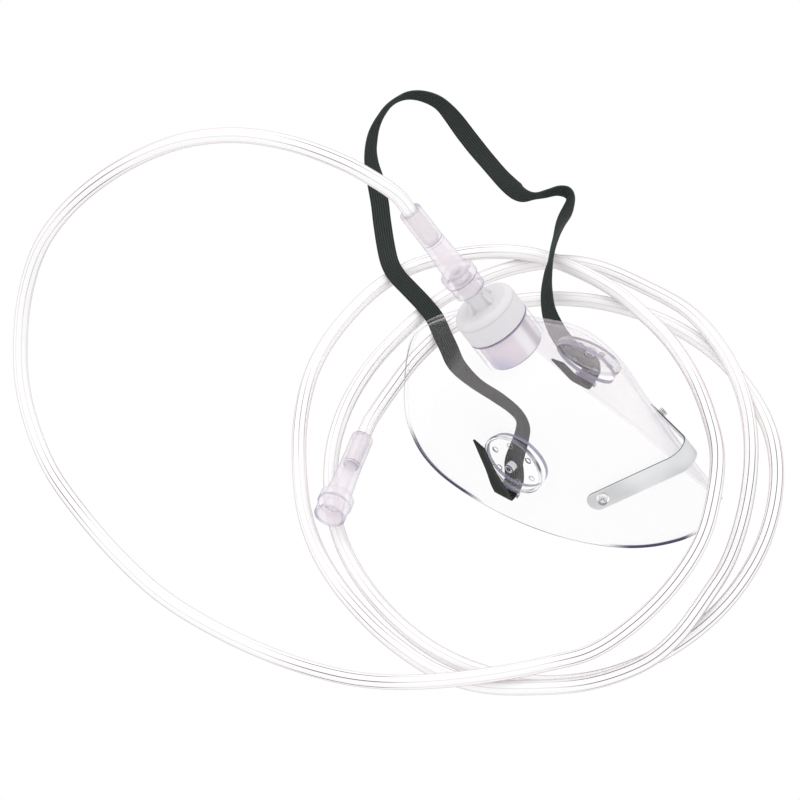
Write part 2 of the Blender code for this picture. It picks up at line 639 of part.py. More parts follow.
def cuff_mesh(name):
    """A connector along +Z from its mouth to its tube end."""
    nozzle_end = CAP_SIDE + CAP_ROUND + NOZZLE_LENGTH - CUFF_ABOVE_NECK
    grip = nozzle_radius(CUFF_ABOVE_NECK + CUFF_FUNNEL_DEPTH) + CLEARANCE
    grip_end = NOZZLE_TIP_RADIUS + CLEARANCE
    pocket = TUBE_RADIUS + CLEARANCE
    floor = CUFF_LENGTH - CUFF_POCKET_DEPTH
    flange_top = CUFF_SKIRT_LENGTH + CUFF_FLANGE_LENGTH
    edge = 0.5 * MM
    return turned(name, (
        (pocket, CUFF_LENGTH), (CUFF_SLEEVE_RADIUS - edge, CUFF_LENGTH),
        (CUFF_SLEEVE_RADIUS, CUFF_LENGTH - edge), (CUFF_SLEEVE_RADIUS, floor),
        (CUFF_BODY_RADIUS, flange_top), (CUFF_FLANGE_RADIUS - edge, flange_top),
        (CUFF_FLANGE_RADIUS, flange_top - edge), (CUFF_FLANGE_RADIUS, CUFF_SKIRT_LENGTH + edge),
        (CUFF_SKIRT_RADIUS, CUFF_SKIRT_LENGTH), (CUFF_SKIRT_RADIUS, edge),
        (CUFF_SKIRT_RADIUS - edge, 0.0), (CUFF_MOUTH_RADIUS, 0.0), (grip, CUFF_FUNNEL_DEPTH),
        (grip_end, nozzle_end + CLEARANCE), (CUFF_BORE_RADIUS, nozzle_end + CLEARANCE),
        (CUFF_BORE_RADIUS, floor), (pocket, floor),
    ))


def cuff_ends():
    """Mouth and tube end of the connector on the mask, then of the free one."""
    mouth = PORT_TOP + PORT_AXIS * CUFF_ABOVE_NECK
    free_mouth = Vector(FREE_CUFF_MOUTH) * MM
    free_way = (Vector(FREE_CUFF_TUBE_END) * MM - free_mouth).normalized()
    return (mouth, PORT_AXIS), (free_mouth, free_way)


def cuffs(parts, material):
    """The two connectors, which are alike."""
    for name, (mouth, way) in zip(("mask_end_cuff", "supply_end_cuff"), cuff_ends()):
        mesh = cuff_mesh(name)
        set_upright(mesh, mouth, way)
        smooth(add(name, mesh, parts, material))


def tube_points():
    """The whole tube, straight in its pockets and evenly spaced on one smooth
    curve between them."""
    first, last = cuff_ends()
    floor = CUFF_LENGTH - CUFF_POCKET_DEPTH + CLEARANCE
    steps = (CUFF_LENGTH + CLEARANCE, CUFF_LENGTH + TUBE_STRAIGHT)
    route = [first[0] + first[1] * step for step in steps]
    route += [Vector(point) * MM for point in TUBE_ROUTE]
    route += [last[0] + last[1] * step for step in reversed(steps)]
    count = (len(route) - 1) * TUBE_FINE_STEPS
    curve = [Vector(through(route, index / TUBE_FINE_STEPS)) for index in range(count + 1)]
    lengths = [0.0]
    for here, there in zip(curve, curve[1:]):
        lengths.append(lengths[-1] + (there - here).length)
    points = [first[0] + first[1] * floor]
    place = 0
    for step in range(TUBE_POINTS - 2):
        wanted = lengths[-1] * step / (TUBE_POINTS - 3)
        while place < count - 1 and lengths[place + 1] < wanted:
            place += 1
        share = (wanted - lengths[place]) / (lengths[place + 1] - lengths[place])
        points.append(curve[place].lerp(curve[place + 1], share))
    points.append(last[0] + last[1] * floor)
    return points


def oxygen_tube(parts, material):
    """The tube as one round bar along its route."""
    data = bpy.data.curves.new("oxygen_tube", "CURVE")
    data.dimensions = "3D"
    data.bevel_depth = TUBE_RADIUS
    data.bevel_resolution = 2
    data.use_fill_caps = True
    points = tube_points()
    spline = data.splines.new("POLY")
    spline.points.add(len(points) - 1)
    for slot, point in zip(spline.points, points):
        slot.co = (*point, 1.0)
    add("oxygen_tube", data, parts, material)


# Head strap

def strap_route(tree):
    """All points of the strap, from its near tail to its far tail."""
    far = slot_middle(tree) / MM
    near = Vector((far.x, -far.y, far.z))
    out = SLOT_STRAIGHT
    route = [(near.x + x, near.y + y, near.z + z, lean) for x, y, z, lean in reversed(NEAR_TAIL)]
    route += [(near.x, near.y + shift, near.z, 0.0) for shift in (-out, 0.0, out)]
    route += list(NEAR_RUN)
    route += [(far.x, far.y + shift, far.z, 0.0) for shift in (out, 0.0, -out)]
    route += [(far.x + x, far.y + y, far.z + z, lean) for x, y, z, lean in FAR_TAIL]
    return route


def strap_sides(ways):
    """The untwisted direction across the strap: level between the slots, and
    carried on from the slot without a twist along each tail."""
    near_slot = (len(NEAR_TAIL) + 1) * STRAP_STEPS
    far_slot = len(ways) - 1 - (len(FAR_TAIL) + 1) * STRAP_STEPS
    sides = [way.cross(UP).normalized() for way in ways]
    for index in range(near_slot - 1, -1, -1):
        sides[index] = (sides[index + 1] - ways[index] * sides[index + 1].dot(ways[index])).normalized()
    for index in range(far_slot + 1, len(ways)):
        sides[index] = (sides[index - 1] - ways[index] * sides[index - 1].dot(ways[index])).normalized()
    return sides


def head_strap(parts, tree, material):
    """A flat band that follows its route and leans as the route says."""
    route = strap_route(tree)
    count = (len(route) - 1) * STRAP_STEPS + 1
    samples = [through(route, index / STRAP_STEPS) for index in range(count)]
    middles = [Vector(sample[:3]) * MM for sample in samples]
    ways = [(middles[min(index + 1, count - 1)] - middles[max(index - 1, 0)]).normalized()
            for index in range(count)]
    shape = bmesh.new()
    edge_before = None
    for middle, way, level, sample in zip(middles, ways, strap_sides(ways), samples):
        across = Matrix.Rotation(math.radians(sample[3]), 3, way) @ level
        side = across * STRAP_WIDTH / 2
        edge = [shape.verts.new(middle - side), shape.verts.new(middle + side)]
        if edge_before:
            shape.faces.new((edge_before[0], edge_before[1], edge[1], edge[0]))
        edge_before = edge
    mesh = bpy.data.meshes.new("head_strap")
    shape.to_mesh(mesh)
    shape.free()
    strap = add("head_strap", mesh, parts, material)
    modifier(strap, "SOLIDIFY", thickness=STRAP_THICKNESS, offset=0.0, use_even_offset=False)


def main():
    parts, cutters = start()
    clear_soft = finish("clear soft vinyl", (0.93, 0.92, 0.96), 0.12)
    frosted = finish("frosted vinyl", (0.84, 0.83, 0.90), 0.45)
    aluminium = finish("aluminium", (0.78, 0.79, 0.78), 0.32, 1.0)
    elastic = finish("black elastic", (0.022, 0.027, 0.024), 0.85)
    tree = mask_shell(parts, cutters, clear_soft)
    nose_clip(parts, cutters, aluminium)
    inlet_adapter(parts, cutters, frosted)
    cuffs(parts, clear_soft)
    oxygen_tube(parts, clear_soft)
    head_strap(parts, tree, elastic)
    bpy.context.view_layer.update()


main()
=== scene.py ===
"""Adult oxygen face mask with its tube, connectors, nose clip and head strap.

Metres, +Z up. The mask lies on a table on its cheeks, its chin towards -X and
its nose towards +X. Outlines and routes are measured from the point on the
table below the chin tip, and each piece is moved from there to the shared
origin as it is added.
"""

import functools
import math

import bmesh
import bpy
from bpy.props import FloatProperty, FloatVectorProperty, IntProperty, PointerProperty
from mathutils import Matrix, Vector
from mathutils.bvhtree import BVHTree


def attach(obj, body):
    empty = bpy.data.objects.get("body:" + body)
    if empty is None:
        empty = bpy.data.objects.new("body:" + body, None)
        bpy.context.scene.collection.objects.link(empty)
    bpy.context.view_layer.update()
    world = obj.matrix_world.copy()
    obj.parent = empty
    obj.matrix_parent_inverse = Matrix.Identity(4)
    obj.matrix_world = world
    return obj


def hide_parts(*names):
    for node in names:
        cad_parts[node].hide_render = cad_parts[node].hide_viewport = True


bl_info = {
    "name": "Oxygen mask",
    "version": (1, 0, 0),
    "blender": (4, 5, 0),
    "location": "3D View > Sidebar > Oxygen mask",
    "description": "Models a clear oxygen face mask with its tube and head strap",
    "category": "Add Mesh",
}

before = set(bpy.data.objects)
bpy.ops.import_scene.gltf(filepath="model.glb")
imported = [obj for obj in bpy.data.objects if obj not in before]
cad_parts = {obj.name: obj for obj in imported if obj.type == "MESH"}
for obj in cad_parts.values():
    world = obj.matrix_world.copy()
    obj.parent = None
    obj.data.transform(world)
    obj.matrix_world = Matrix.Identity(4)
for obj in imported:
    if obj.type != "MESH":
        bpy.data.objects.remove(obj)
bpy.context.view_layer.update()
MM = 0.001

# Where the shared origin lies, seen from the point below the chin tip
CENTRE = Vector((28.678, 43.727, 0.0)) * MM
FORWARD = Vector((1.0, 0.0, 0.0))
SIDEWAYS = Vector((0.0, 1.0, 0.0))
UP = Vector((0.0, 0.0, 1.0))

# Play between pieces that fit together, a length that clears any wall, and how
# close two corners are that count as one
CLEARANCE = 0.3 * MM
REACH = 12.0 * MM
MERGE_DISTANCE = 0.001 * MM

# Soft shell, in millimetres: along, half width and height of the rim, then how
# the wall leaves it: forward, inward and upward
RIM_STATIONS = (
    (0.0, 0.0, 38.0, -2.5, 0.0, 10.0),
    (8.5, 22.1, 30.0, -1.5, -1.0, 13.0),
    (18.4, 32.0, 20.4, 0.0, 1.0, 18.0),
    (32.7, 36.1, 11.5, 2.0, 6.0, 27.0),
    (54.0, 35.2, 3.6, 0.0, 12.0, 37.0),
    (75.0, 32.6, 0.6, 2.0, 8.0, 46.0),
    (94.0, 28.4, 0.45, 0.0, 6.0, 52.0),
    (112.0, 22.4, 3.0, -6.0, 10.0, 42.0),
    (126.0, 15.8, 9.0, -12.0, 8.0, 33.0),
    (135.6, 9.0, 17.5, -15.0, 4.0, 26.0),
    (139.5, 0.0, 32.0, -16.0, 0.0, 20.0),
)

# Stretches of the near cheek's rim that look thick and dark, in millimetres
# towards the nose: where each begins, is full, fades and ends
RIM_DARK = ((12.0, 22.0, 44.0, 56.0), (100.0, 114.0, 131.0, 136.0))

# Port: a round neck that leans towards the chin. The wall flares out of its
# foot at an angle and over a reach that change from the chin to the nose, and
# NECK_TURN shifts its lines towards the nose on their way to the neck
PORT_LEAN = math.radians(49.5)
PORT_TOP = Vector((37.3, 0.0, 75.4)) * MM
PORT_AXIS = Vector((-math.cos(PORT_LEAN), 0.0, math.sin(PORT_LEAN)))
PORT_ACROSS = Vector((math.sin(PORT_LEAN), 0.0, math.cos(PORT_LEAN)))
NECK_RADIUS = 13.0 * MM
NECK_LENGTH = 13.0 * MM
NECK_TURN = 0.08
NECK_FOOT = PORT_TOP - PORT_AXIS * NECK_LENGTH
FLARE_AT_CHIN = math.radians(-25.0)
FLARE_AT_NOSE = math.radians(40.5)
FLARE_REACH_CHIN = 13.0 * MM
FLARE_REACH_SIDE = 14.0 * MM
FLARE_REACH_NOSE = 47.0 * MM

# Vent disc on each cheek, and the strap slot below it, with play at its ends
DISC_X = 63.3 * MM
DISC_Z = 34.4 * MM
DISC_TURN = math.radians(6.0)
VENT_TURN = math.radians(10.0)
SLOT_X = 62.0 * MM
SLOT_Z = 15.3 * MM
SLOT_PLAY = 0.8 * MM
SLOT_HEIGHT = 2.7 * MM

# Nose clip: the middle of its bend, its tilt, and how its outline is rounded
CLIP_APEX = Vector((123.2, 0.0, 52.6)) * MM
CLIP_TILT = math.radians(47.3)
CLIP_ALONG = Vector((math.cos(math.pi / 2 - CLIP_TILT), 0.0, math.sin(math.pi / 2 - CLIP_TILT)))
CLIP_ACROSS = Vector((-CLIP_ALONG.z, 0.0, CLIP_ALONG.x))
CLIP_END_ROUND = 0.48
CLIP_EDGE_ROUND = 0.12 * MM
CLIP_BEND_STEPS = 24

# Adapter and connectors, with heights along the port's axis from the neck's
# top. The plug's painted highlight and painted shade lie in bands side by side
# in one direction, the way the light falls across it
CAP_SIDE = 8.8 * MM
CAP_ROUND = 2.8 * MM
CAP_TOP = 2.4 * MM
CAP_STEPS = 12
PLUG_LIGHT_WAY = Vector((0.388, 0.860, 0.331))
CUFF_ABOVE_NECK = 19.0 * MM
FREE_CUFF_TUBE_END = Vector((-2.0, -36.7, 8.6)) * MM
FREE_CUFF_MOUTH = Vector((8.0, -77.5, 15.4)) * MM

# The tube between its two connectors, in millimetres from below the chin tip.
# It leaves each connector straight, and its bore has ridges round it
TUBE_ROUTE = (
    (-16.0, -2.6, 135.5), (-29.0, -6.0, 142.0), (-49.0, -10.0, 144.0), (-70.0, -14.5, 139.5),
    (-90.0, -20.5, 129.0), (-107.0, -27.5, 114.5), (-122.0, -35.5, 97.0), (-134.0, -44.5, 78.0),
    (-141.0, -54.0, 60.0), (-142.0, -65.0, 43.0), (-138.0, -77.0, 28.5), (-130.0, -89.5, 17.0),
    (-118.0, -101.0, 9.0), (-102.0, -112.0, 4.5), (-83.0, -121.0, 3.4), (-59.0, -130.0, 3.4),
    (-33.0, -136.5, 3.4), (-7.0, -138.0, 3.4), (20.0, -136.0, 3.4), (44.0, -131.0, 4.0),
    (63.0, -125.0, 7.4), (82.0, -115.0, 11.2), (100.0, -102.0, 13.8), (114.0, -90.0, 16.0),
    (127.0, -77.0, 18.5), (136.5, -60.8, 25.5), (142.2, -43.0, 33.0), (143.4, -24.5, 39.0),
    (139.6, -8.3, 43.6), (130.6, 11.8, 41.8), (116.4, 31.6, 32.5), (99.3, 50.5, 22.0),
    (82.0, 64.0, 15.0), (66.0, 72.0, 11.0), (48.0, 77.0, 10.0), (28.0, 77.5, 9.8),
    (11.0, 74.5, 9.8), (-5.0, 68.5, 7.0), (-19.0, 60.0, 3.4), (-30.0, 47.0, 3.4),
    (-37.0, 30.0, 3.4), (-40.0, 10.0, 3.4), (-39.5, -9.0, 3.4), (-35.0, -27.0, 3.4),
    (-25.0, -48.0, 3.4), (-9.0, -71.0, 3.4), (6.0, -85.5, 3.4), (22.0, -95.5, 3.4),
    (39.0, -102.5, 3.4), (56.0, -107.0, 3.4), (76.0, -109.0, 3.6), (95.0, -106.5, 6.4),
    (114.0, -98.0, 9.8), (131.0, -85.0, 9.6), (144.0, -68.0, 9.8), (149.5, -51.0, 9.8),
    (150.5, -29.0, 8.4), (149.0, -7.0, 3.8), (143.5, 16.0, 3.4), (134.5, 38.0, 3.9),
    (123.5, 55.0, 6.6), (111.0, 67.0, 9.8), (96.0, 77.0, 10.2), (79.0, 84.5, 8.8),
    (58.0, 88.5, 4.0), (37.0, 87.5, 3.4), (21.0, 81.5, 3.4), (8.0, 71.0, 3.4),
    (-3.0, 56.5, 3.4), (-12.0, 38.0, 3.4), (-17.0, 16.0, 3.4), (-19.0, -5.0, 3.4),
    (-17.0, -26.0, 3.4), (-10.5, -46.0, 3.4), (1.0, -65.0, 3.4), (15.5, -80.0, 3.4),
    (33.0, -91.0, 3.4), (53.0, -98.5, 3.4), (73.0, -101.5, 3.4), (93.0, -99.5, 3.4),
    (113.5, -92.0, 3.4), (132.0, -77.5, 3.4), (146.5, -57.0, 3.4), (155.0, -34.5, 3.4),
    (158.0, -12.0, 3.4), (156.0, 11.0, 3.4), (148.5, 33.5, 3.4), (136.5, 52.0, 3.4),
    (120.0, 65.5, 3.4), (100.5, 74.5, 3.4), (80.0, 78.0, 3.4), (60.0, 76.5, 3.4),
    (41.0, 71.0, 3.4), (23.0, 61.0, 3.4), (8.5, 47.5, 3.4), (-1.0, 30.0, 3.4),
    (-5.4, 10.0, 3.4), (-5.5, -9.5, 4.6), (-4.6, -23.0, 6.6),
)
TUBE_STRAIGHT = 8.0 * MM
BORE_RIDGES = 8

# The strap, in millimetres and degrees: along, across, height and lean. Between
# the slots lean is 0 where the strap lies flat and 90 where it stands on its
# edge. The tails are measured from the middle of their slot, and lean there is
# the twist since the slot. The strap runs straight through a slot, and
# SLOT_STRAIGHT past the middle of the wall on both sides
NEAR_TAIL = (
    (0.0, -3.9, 1.2, 0.0), (-0.3, -4.8, 4.0, 0.0), (-1.6, -5.3, 8.8, 0.0), (-4.1, -5.7, 16.0, 12.0),
    (-7.4, -5.9, 24.6, 17.0), (-10.8, -5.9, 33.6, 18.0),
)
NEAR_RUN = (
    (61.4, -25.0, 14.9, 2.0), (59.2, -21.2, 14.0, 8.0), (56.4, -16.6, 12.4, 18.0),
    (54.0, -9.6, 10.0, 36.0), (51.6, -2.0, 7.8, 46.0), (48.4, 4.2, 6.2, 46.0), (42.2, 8.2, 5.1, 36.0),
    (33.0, 10.3, 4.6, 28.0), (22.0, 11.1, 5.4, 26.0), (12.0, 13.5, 7.2, 8.0),
    (5.0, 18.5, 7.9, 0.0), (-1.0, 23.0, 8.0, 0.0), (-7.5, 28.0, 8.0, 0.0), (-15.0, 31.5, 8.0, 0.0),
    (-23.0, 34.5, 7.9, 0.0), (-31.0, 37.5, 7.8, 0.0), (-37.0, 41.5, 7.2, 0.0), (-44.0, 49.5, 4.0, 0.0),
    (-53.0, 61.0, 1.1, 0.0), (-59.5, 69.5, 1.1, 0.0), (-66.5, 77.5, 2.0, 15.0), (-72.0, 83.5, 3.2, 38.0),
    (-76.0, 89.5, 3.9, 56.0), (-78.6, 95.5, 4.2, 68.0), (-80.3, 102.0, 4.4, 85.0),
    (-81.0, 109.0, 4.5, 97.0), (-80.0, 115.5, 4.5, 108.0), (-77.0, 120.5, 4.5, 104.0),
    (-71.5, 123.5, 4.5, 92.0), (-64.0, 124.2, 4.4, 76.0), (-56.0, 121.8, 3.6, 52.0),
    (-46.0, 117.3, 2.2, 24.0), (-38.0, 113.7, 1.4, 8.0), (-30.0, 110.2, 1.1, 0.0),
    (-21.5, 106.5, 1.2, 5.0), (-14.0, 103.4, 2.6, 35.0), (-8.6, 102.3, 4.3, 82.0),
    (-4.6, 103.6, 4.7, 106.0), (-1.0, 107.2, 4.7, 102.0), (2.6, 111.2, 4.7, 96.0),
    (6.6, 112.2, 4.7, 84.0), (9.4, 108.6, 5.0, 58.0), (12.0, 100.0, 6.4, 42.0), (15.4, 89.5, 11.8, 60.0),
    (18.6, 80.0, 17.2, 70.0), (21.2, 72.5, 18.2, 75.0), (23.4, 66.5, 16.8, 67.0),
    (26.6, 60.0, 13.4, 59.0), (31.5, 53.6, 10.4, 53.0), (38.4, 48.0, 9.6, 41.0),
    (45.6, 43.4, 10.8, 36.0), (52.0, 40.8, 12.4, 44.0), (58.1, 39.3, 14.0, 32.0),
    (61.4, 35.9, 15.1, 10.0),
)
FAR_TAIL = (
    (0.0, -3.6, 0.9, 0.0), (-0.5, -5.1, 3.6, 0.0), (-2.0, -6.6, 8.0, 0.0), (-4.8, -7.8, 13.0, 0.0),
    (-8.6, -9.0, 18.4, 0.0),
)
SLOT_STRAIGHT = 2.2

# Stage: what the camera looks at, and the soft light
VIEW_TARGET = Vector((10.75, -28.8, 37.4)) * MM
SENSOR_WIDTH = 36.0
LIGHT_PLACE = Vector((-0.7, 0.5, 1.3))
LIGHT_SIZE = 0.9


# Settings

def length_of(name, description, size):
    """A length that can be changed, given here in millimetres."""
    return FloatProperty(name=name, description=description, default=size * MM, unit="LENGTH")


def count_of(name, description, number):
    return IntProperty(name=name, description=description, default=number)


def colour_of(name, description, colour):
    return FloatVectorProperty(name=name, description=description, subtype="COLOR", default=colour)


class MaskShellSettings(bpy.types.PropertyGroup):
    wall: length_of("Wall", "Thickness of the soft shell", 1.5)
    steps_around: count_of("Steps around", "Faces along half of the rim", 168)
    steps_up: count_of("Steps up", "Faces from the rim to the neck's end", 140)
    haze: colour_of("Haze", "Colour of the clear vinyl seen flat on", (0.93, 0.86, 0.90))
    edge: colour_of("Edge", "Colour of the clear vinyl seen edge on", (0.42, 0.38, 0.50))


class VentSettings(bpy.types.PropertyGroup):
    radius: length_of("Radius", "Outer radius of a vent disc", 13.7)
    plate: length_of("Plate", "Thickness of the disc", 1.4)
    skirt: length_of("Skirt", "Wall of the ring behind the disc", 1.4)
    bead_width: length_of("Bead width", "Width of the raised ring", 1.2)
    bead_height: length_of("Bead height", "Height of the raised ring", 0.6)
    proud: length_of("Proud", "Height of the disc over the cheek", 0.3)
    holes: count_of("Holes", "Small vent holes in a disc", 6)
    hole_circle: length_of("Hole circle", "Radius of the circle of holes", 9.2)
    hole_radius: length_of("Hole radius", "Radius of a vent hole", 1.1)
    peg_radius: length_of("Peg radius", "Outer radius of the hollow peg", 2.0)
    peg_bore: length_of("Peg bore", "Radius of the peg's bore", 1.0)
    peg_height: length_of("Peg height", "Height of the peg over the disc", 3.4)
    haze: colour_of("Haze", "Colour of the clear vinyl seen flat on", (0.96, 0.93, 0.95))


class NoseClipSettings(bpy.types.PropertyGroup):
    width: length_of("Width", "Width of the strip", 8.4)
    thickness: length_of("Thickness", "Thickness of the strip", 0.7)
    bend_radius: length_of("Bend radius", "Radius of the bend over the nose", 7.0)
    pin_half_span: length_of("Half span", "Half the distance between the pins", 22.6)
    pin_drop: length_of("Drop", "Drop of the pins below the bend", 32.0)
    end: length_of("End", "Length of the strip past a pin", 6.6)
    pin_radius: length_of("Pin radius", "Outer radius of a pin", 1.7)
    pin_bore: length_of("Pin bore", "Radius of a pin's bore", 0.9)
    pin_proud: length_of("Pin proud", "Height of a pin over the strip", 2.0)
    pin_play: length_of("Pin play", "Play of a pin in its hole", 0.9)
    colour: colour_of("Colour", "Colour of the aluminium", (0.60, 0.61, 0.62))


class AdapterSettings(bpy.types.PropertyGroup):
    plug_depth: length_of("Plug depth", "Length of the plug in the neck", 14.0)
    plug_wall: length_of("Plug wall", "Wall of the plug", 1.8)
    nozzle_root: length_of("Nozzle root", "Radius at the nozzle's foot", 4.9)
    nozzle_tip: length_of("Nozzle tip", "Radius at the nozzle's tip", 3.3)
    nozzle_bore: length_of("Nozzle bore", "Radius of the way through", 1.7)
    nozzle_length: length_of("Nozzle length", "Length of the nozzle", 17.0)
    gusset_height: length_of("Gusset height", "Height of a gusset", 5.0)
    gusset_reach: length_of("Gusset reach", "Reach of a gusset at its foot", 2.6)
    gusset_thickness: length_of("Gusset thickness", "Thickness of a gusset", 1.2)
    colour: colour_of("Colour", "Colour of the frosted vinyl", (0.79, 0.77, 0.79))


class ConnectorSettings(bpy.types.PropertyGroup):
    length: length_of("Length", "Length of a connector", 42.5)
    sleeve: length_of("Sleeve", "Radius round the tube", 4.5)
    body: length_of("Body", "Radius above the flange", 5.2)
    flange: length_of("Flange", "Radius of the flange", 7.0)
    flange_length: length_of("Flange length", "Length of the flange", 4.2)
    skirt: length_of("Skirt", "Radius of the skirt", 6.4)
    skirt_length: length_of("Skirt length", "Length of the skirt", 6.2)
    mouth: length_of("Mouth", "Radius of the mouth", 5.3)
    funnel: length_of("Funnel", "Depth of the tapered mouth", 8.0)
    bore: length_of("Bore", "Radius of the narrow way", 2.2)
    pocket: length_of("Pocket", "Depth that the tube goes in", 15.4)
    haze: colour_of("Haze", "Colour of the clear vinyl seen flat on", (0.93, 0.87, 0.91))
    edge: colour_of("Edge", "Colour of the clear vinyl seen edge on", (0.48, 0.45, 0.60))


class TubeSettings(bpy.types.PropertyGroup):
    radius: length_of("Radius", "Outer radius of the tube", 3.0)
    bore: length_of("Bore", "Radius of the tube's bore", 2.0)
    points: count_of("Points", "Points along the whole tube", 900)
    haze: colour_of("Haze", "Colour of the wall seen flat on", (0.98, 0.97, 0.97))
    edge: colour_of("Edge", "Colour of the wall seen edge on", (0.74, 0.64, 0.65))
    bore_haze: colour_of("Bore haze", "Colour of the bore seen flat on", (0.98, 0.96, 0.96))
    bore_edge: colour_of("Bore edge", "Colour of the bore seen edge on", (0.60, 0.52, 0.55))


class HeadStrapSettings(bpy.types.PropertyGroup):
    width: length_of("Width", "Width of the elastic", 7.6)
    thickness: length_of("Thickness", "Thickness of the elastic", 1.0)
    ribs: count_of("Ribs", "Ribs across the width", 8)
    rib_height: length_of("Rib height", "Height of a rib over its groove", 0.24)
    colour: colour_of("Colour", "Colour of the elastic", (0.007, 0.0088, 0.0080))


class StageSettings(bpy.types.PropertyGroup):
    floor: FloatProperty(name="Floor", description="Side of the floor", default=6.0, unit="LENGTH")
    room: FloatProperty(name="Room light", description="Strength of the light from all sides", default=1.05)
    key: FloatProperty(name="Key light", description="Power of the large soft light", default=4.0,
                       unit="POWER")
    azimuth: FloatProperty(name="Azimuth", description="Way round that the camera looks",
                           default=math.radians(31.5), subtype="ANGLE")
    elevation: FloatProperty(name="Elevation", description="Height of the camera as an angle",
                             default=math.radians(58.0), subtype="ANGLE")
    distance: FloatProperty(name="Distance", description="From the camera to its target", default=1.5,
                            unit="LENGTH")
    lens: FloatProperty(name="Lens", description="Focal length in millimetres for a 36 mm sensor",
                        default=171.45)


# Shader maths

class Amount:
    """A number that changes over a surface, with the usual arithmetic."""

    def __init__(self, finish, socket):
        self.finish = finish
        self.socket = socket

    def worked(self, operation, first, second):
        return self.finish.amount("ShaderNodeMath", {"operation": operation}, {0: first, 1: second})

    def __add__(self, other):
        return self.worked("ADD", self, other)

    def __radd__(self, other):
        return self.worked("ADD", other, self)

    def __sub__(self, other):
        return self.worked("SUBTRACT", self, other)

    def __rsub__(self, other):
        return self.worked("SUBTRACT", other, self)

    def __mul__(self, other):
        return self.worked("MULTIPLY", self, other)

    def __rmul__(self, other):
        return self.worked("MULTIPLY", other, self)

    def most(self, other):
        return self.worked("MAXIMUM", self, other)

    def rising(self, low, high):
        """0 below low, 1 above high, and smooth between them."""
        return self.finish.amount("ShaderNodeMapRange", {"interpolation_type": "SMOOTHSTEP"},
                                  {0: self, 1: low, 2: high})

    def falling(self, low, high):
        """1 below low, 0 above high, and smooth between them."""
        return 1.0 - self.rising(low, high)

    def between(self, begins, full, fades, ends):
        """1 from full to fades, and 0 before begins and after ends."""
        return self.rising(begins, full) * self.falling(fades, ends)


class Finish:
    """A material and the nodes in it."""

    def __init__(self, name):
        self.material = bpy.data.materials.new(name)
        self.material.use_nodes = True
        self.tree = self.material.node_tree
        self.shader = self.tree.nodes["Principled BSDF"]

    def node(self, kind, settings, inputs):
        made = self.tree.nodes.new(kind)
        for key, value in settings.items():
            setattr(made, key, value)
        for key, value in inputs.items():
            self.feed(made.inputs[key], value)
        return made

    def amount(self, kind, settings, inputs, output=0):
        return Amount(self, self.node(kind, settings, inputs).outputs[output])

    def feed(self, socket, value):
        if isinstance(value, Amount):
            value = value.socket
        if isinstance(value, bpy.types.NodeSocket):
            self.tree.links.new(value, socket)
        else:
            socket.default_value = value

    def mixed(self, share, low, high):
        """A colour between two colours."""
        colours = [(*colour, 1.0) if isinstance(colour, tuple) else colour for colour in (low, high)]
        return self.node("ShaderNodeMix", {"data_type": "RGBA"},
                         {0: share, 6: colours[0], 7: colours[1]}).outputs[2]

    def facing(self):
        """0 where the surface is seen flat on, 1 where it is seen edge on."""
        return self.amount("ShaderNodeLayerWeight", {}, {"Blend": 0.5}, "Facing")

    def noise(self, scale, detail=2.0, stretch=(1.0, 1.0, 1.0)):
        """Noise on the piece's own coordinates."""
        place = self.node("ShaderNodeTexCoord", {}, {}).outputs["Object"]
        place = self.node("ShaderNodeMapping", {}, {"Vector": place, "Scale": stretch}).outputs[0]
        return self.amount("ShaderNodeTexNoise", {}, {"Vector": place, "Scale": scale, "Detail": detail})

    def patchy(self, scale, low, high, least, most=1.0):
        """A strength that comes and goes over the piece."""
        return least + self.noise(scale, 1.0).rising(low, high) * (most - least)

    def parts(self, chart):
        """The two numbers of a place on a flat chart."""
        split = self.node("ShaderNodeSeparateXYZ", {}, {0: chart})
        return [Amount(self, split.outputs[index]) for index in (0, 1)]

    def along(self, direction, start=Vector()):
        """The distance in millimetres along a direction, from the point below the
        chin tip or from another start."""
        place = self.node("ShaderNodeTexCoord", {}, {}).outputs["Object"]
        away = self.node("ShaderNodeVectorMath", {"operation": "SUBTRACT"}, {0: place, 1: start - CENTRE})
        return self.amount("ShaderNodeVectorMath", {"operation": "DOT_PRODUCT"},
                           {0: away.outputs[0], 1: direction / MM}, "Value")

    def kept(self, name):
        """A value kept in the mesh."""
        return self.amount("ShaderNodeAttribute", {"attribute_name": name}, {}, "Fac")

    def place(self, name):
        """A place kept in the mesh: its distance from the upright line through
        each asked point, and its height, all in millimetres."""
        kept = self.node("ShaderNodeAttribute", {"attribute_name": name}, {}).outputs["Vector"]
        flat = self.node("ShaderNodeVectorMath", {"operation": "MULTIPLY"},
                         {0: kept, 1: (1.0, 1.0, 0.0)}).outputs[0]
        height = self.amount("ShaderNodeVectorMath", {"operation": "DOT_PRODUCT"},
                             {0: kept, 1: UP}, "Value")

        def away(along=0.0, across=0.0):
            return self.amount("ShaderNodeVectorMath", {"operation": "DISTANCE"},
                               {0: flat, 1: (along, across, 0.0)}, "Value")
        return away, height

    def bump(self, height, strength, distance):
        return self.node("ShaderNodeBump", {}, {"Height": height, "Strength": strength,
                                                "Distance": distance}).outputs[0]

    def set(self, **values):
        """Values of the shader, its sockets named with _ for a space."""
        for name, value in values.items():
            if isinstance(value, tuple) and len(value) == 3:
                value = (*value, 1.0)
            self.feed(self.shader.inputs[name.replace("_", " ")], value)
        return self.material


def thin_line(distance, middle, reach):
    """1 at a distance, falling to 0 at a reach to both sides of it."""
    off = distance - middle
    return (off * off).falling((0.4 * reach) ** 2, reach ** 2)


def strongest(lines):
    """The strongest of several lines at each place."""
    return functools.reduce(Amount.most, lines)


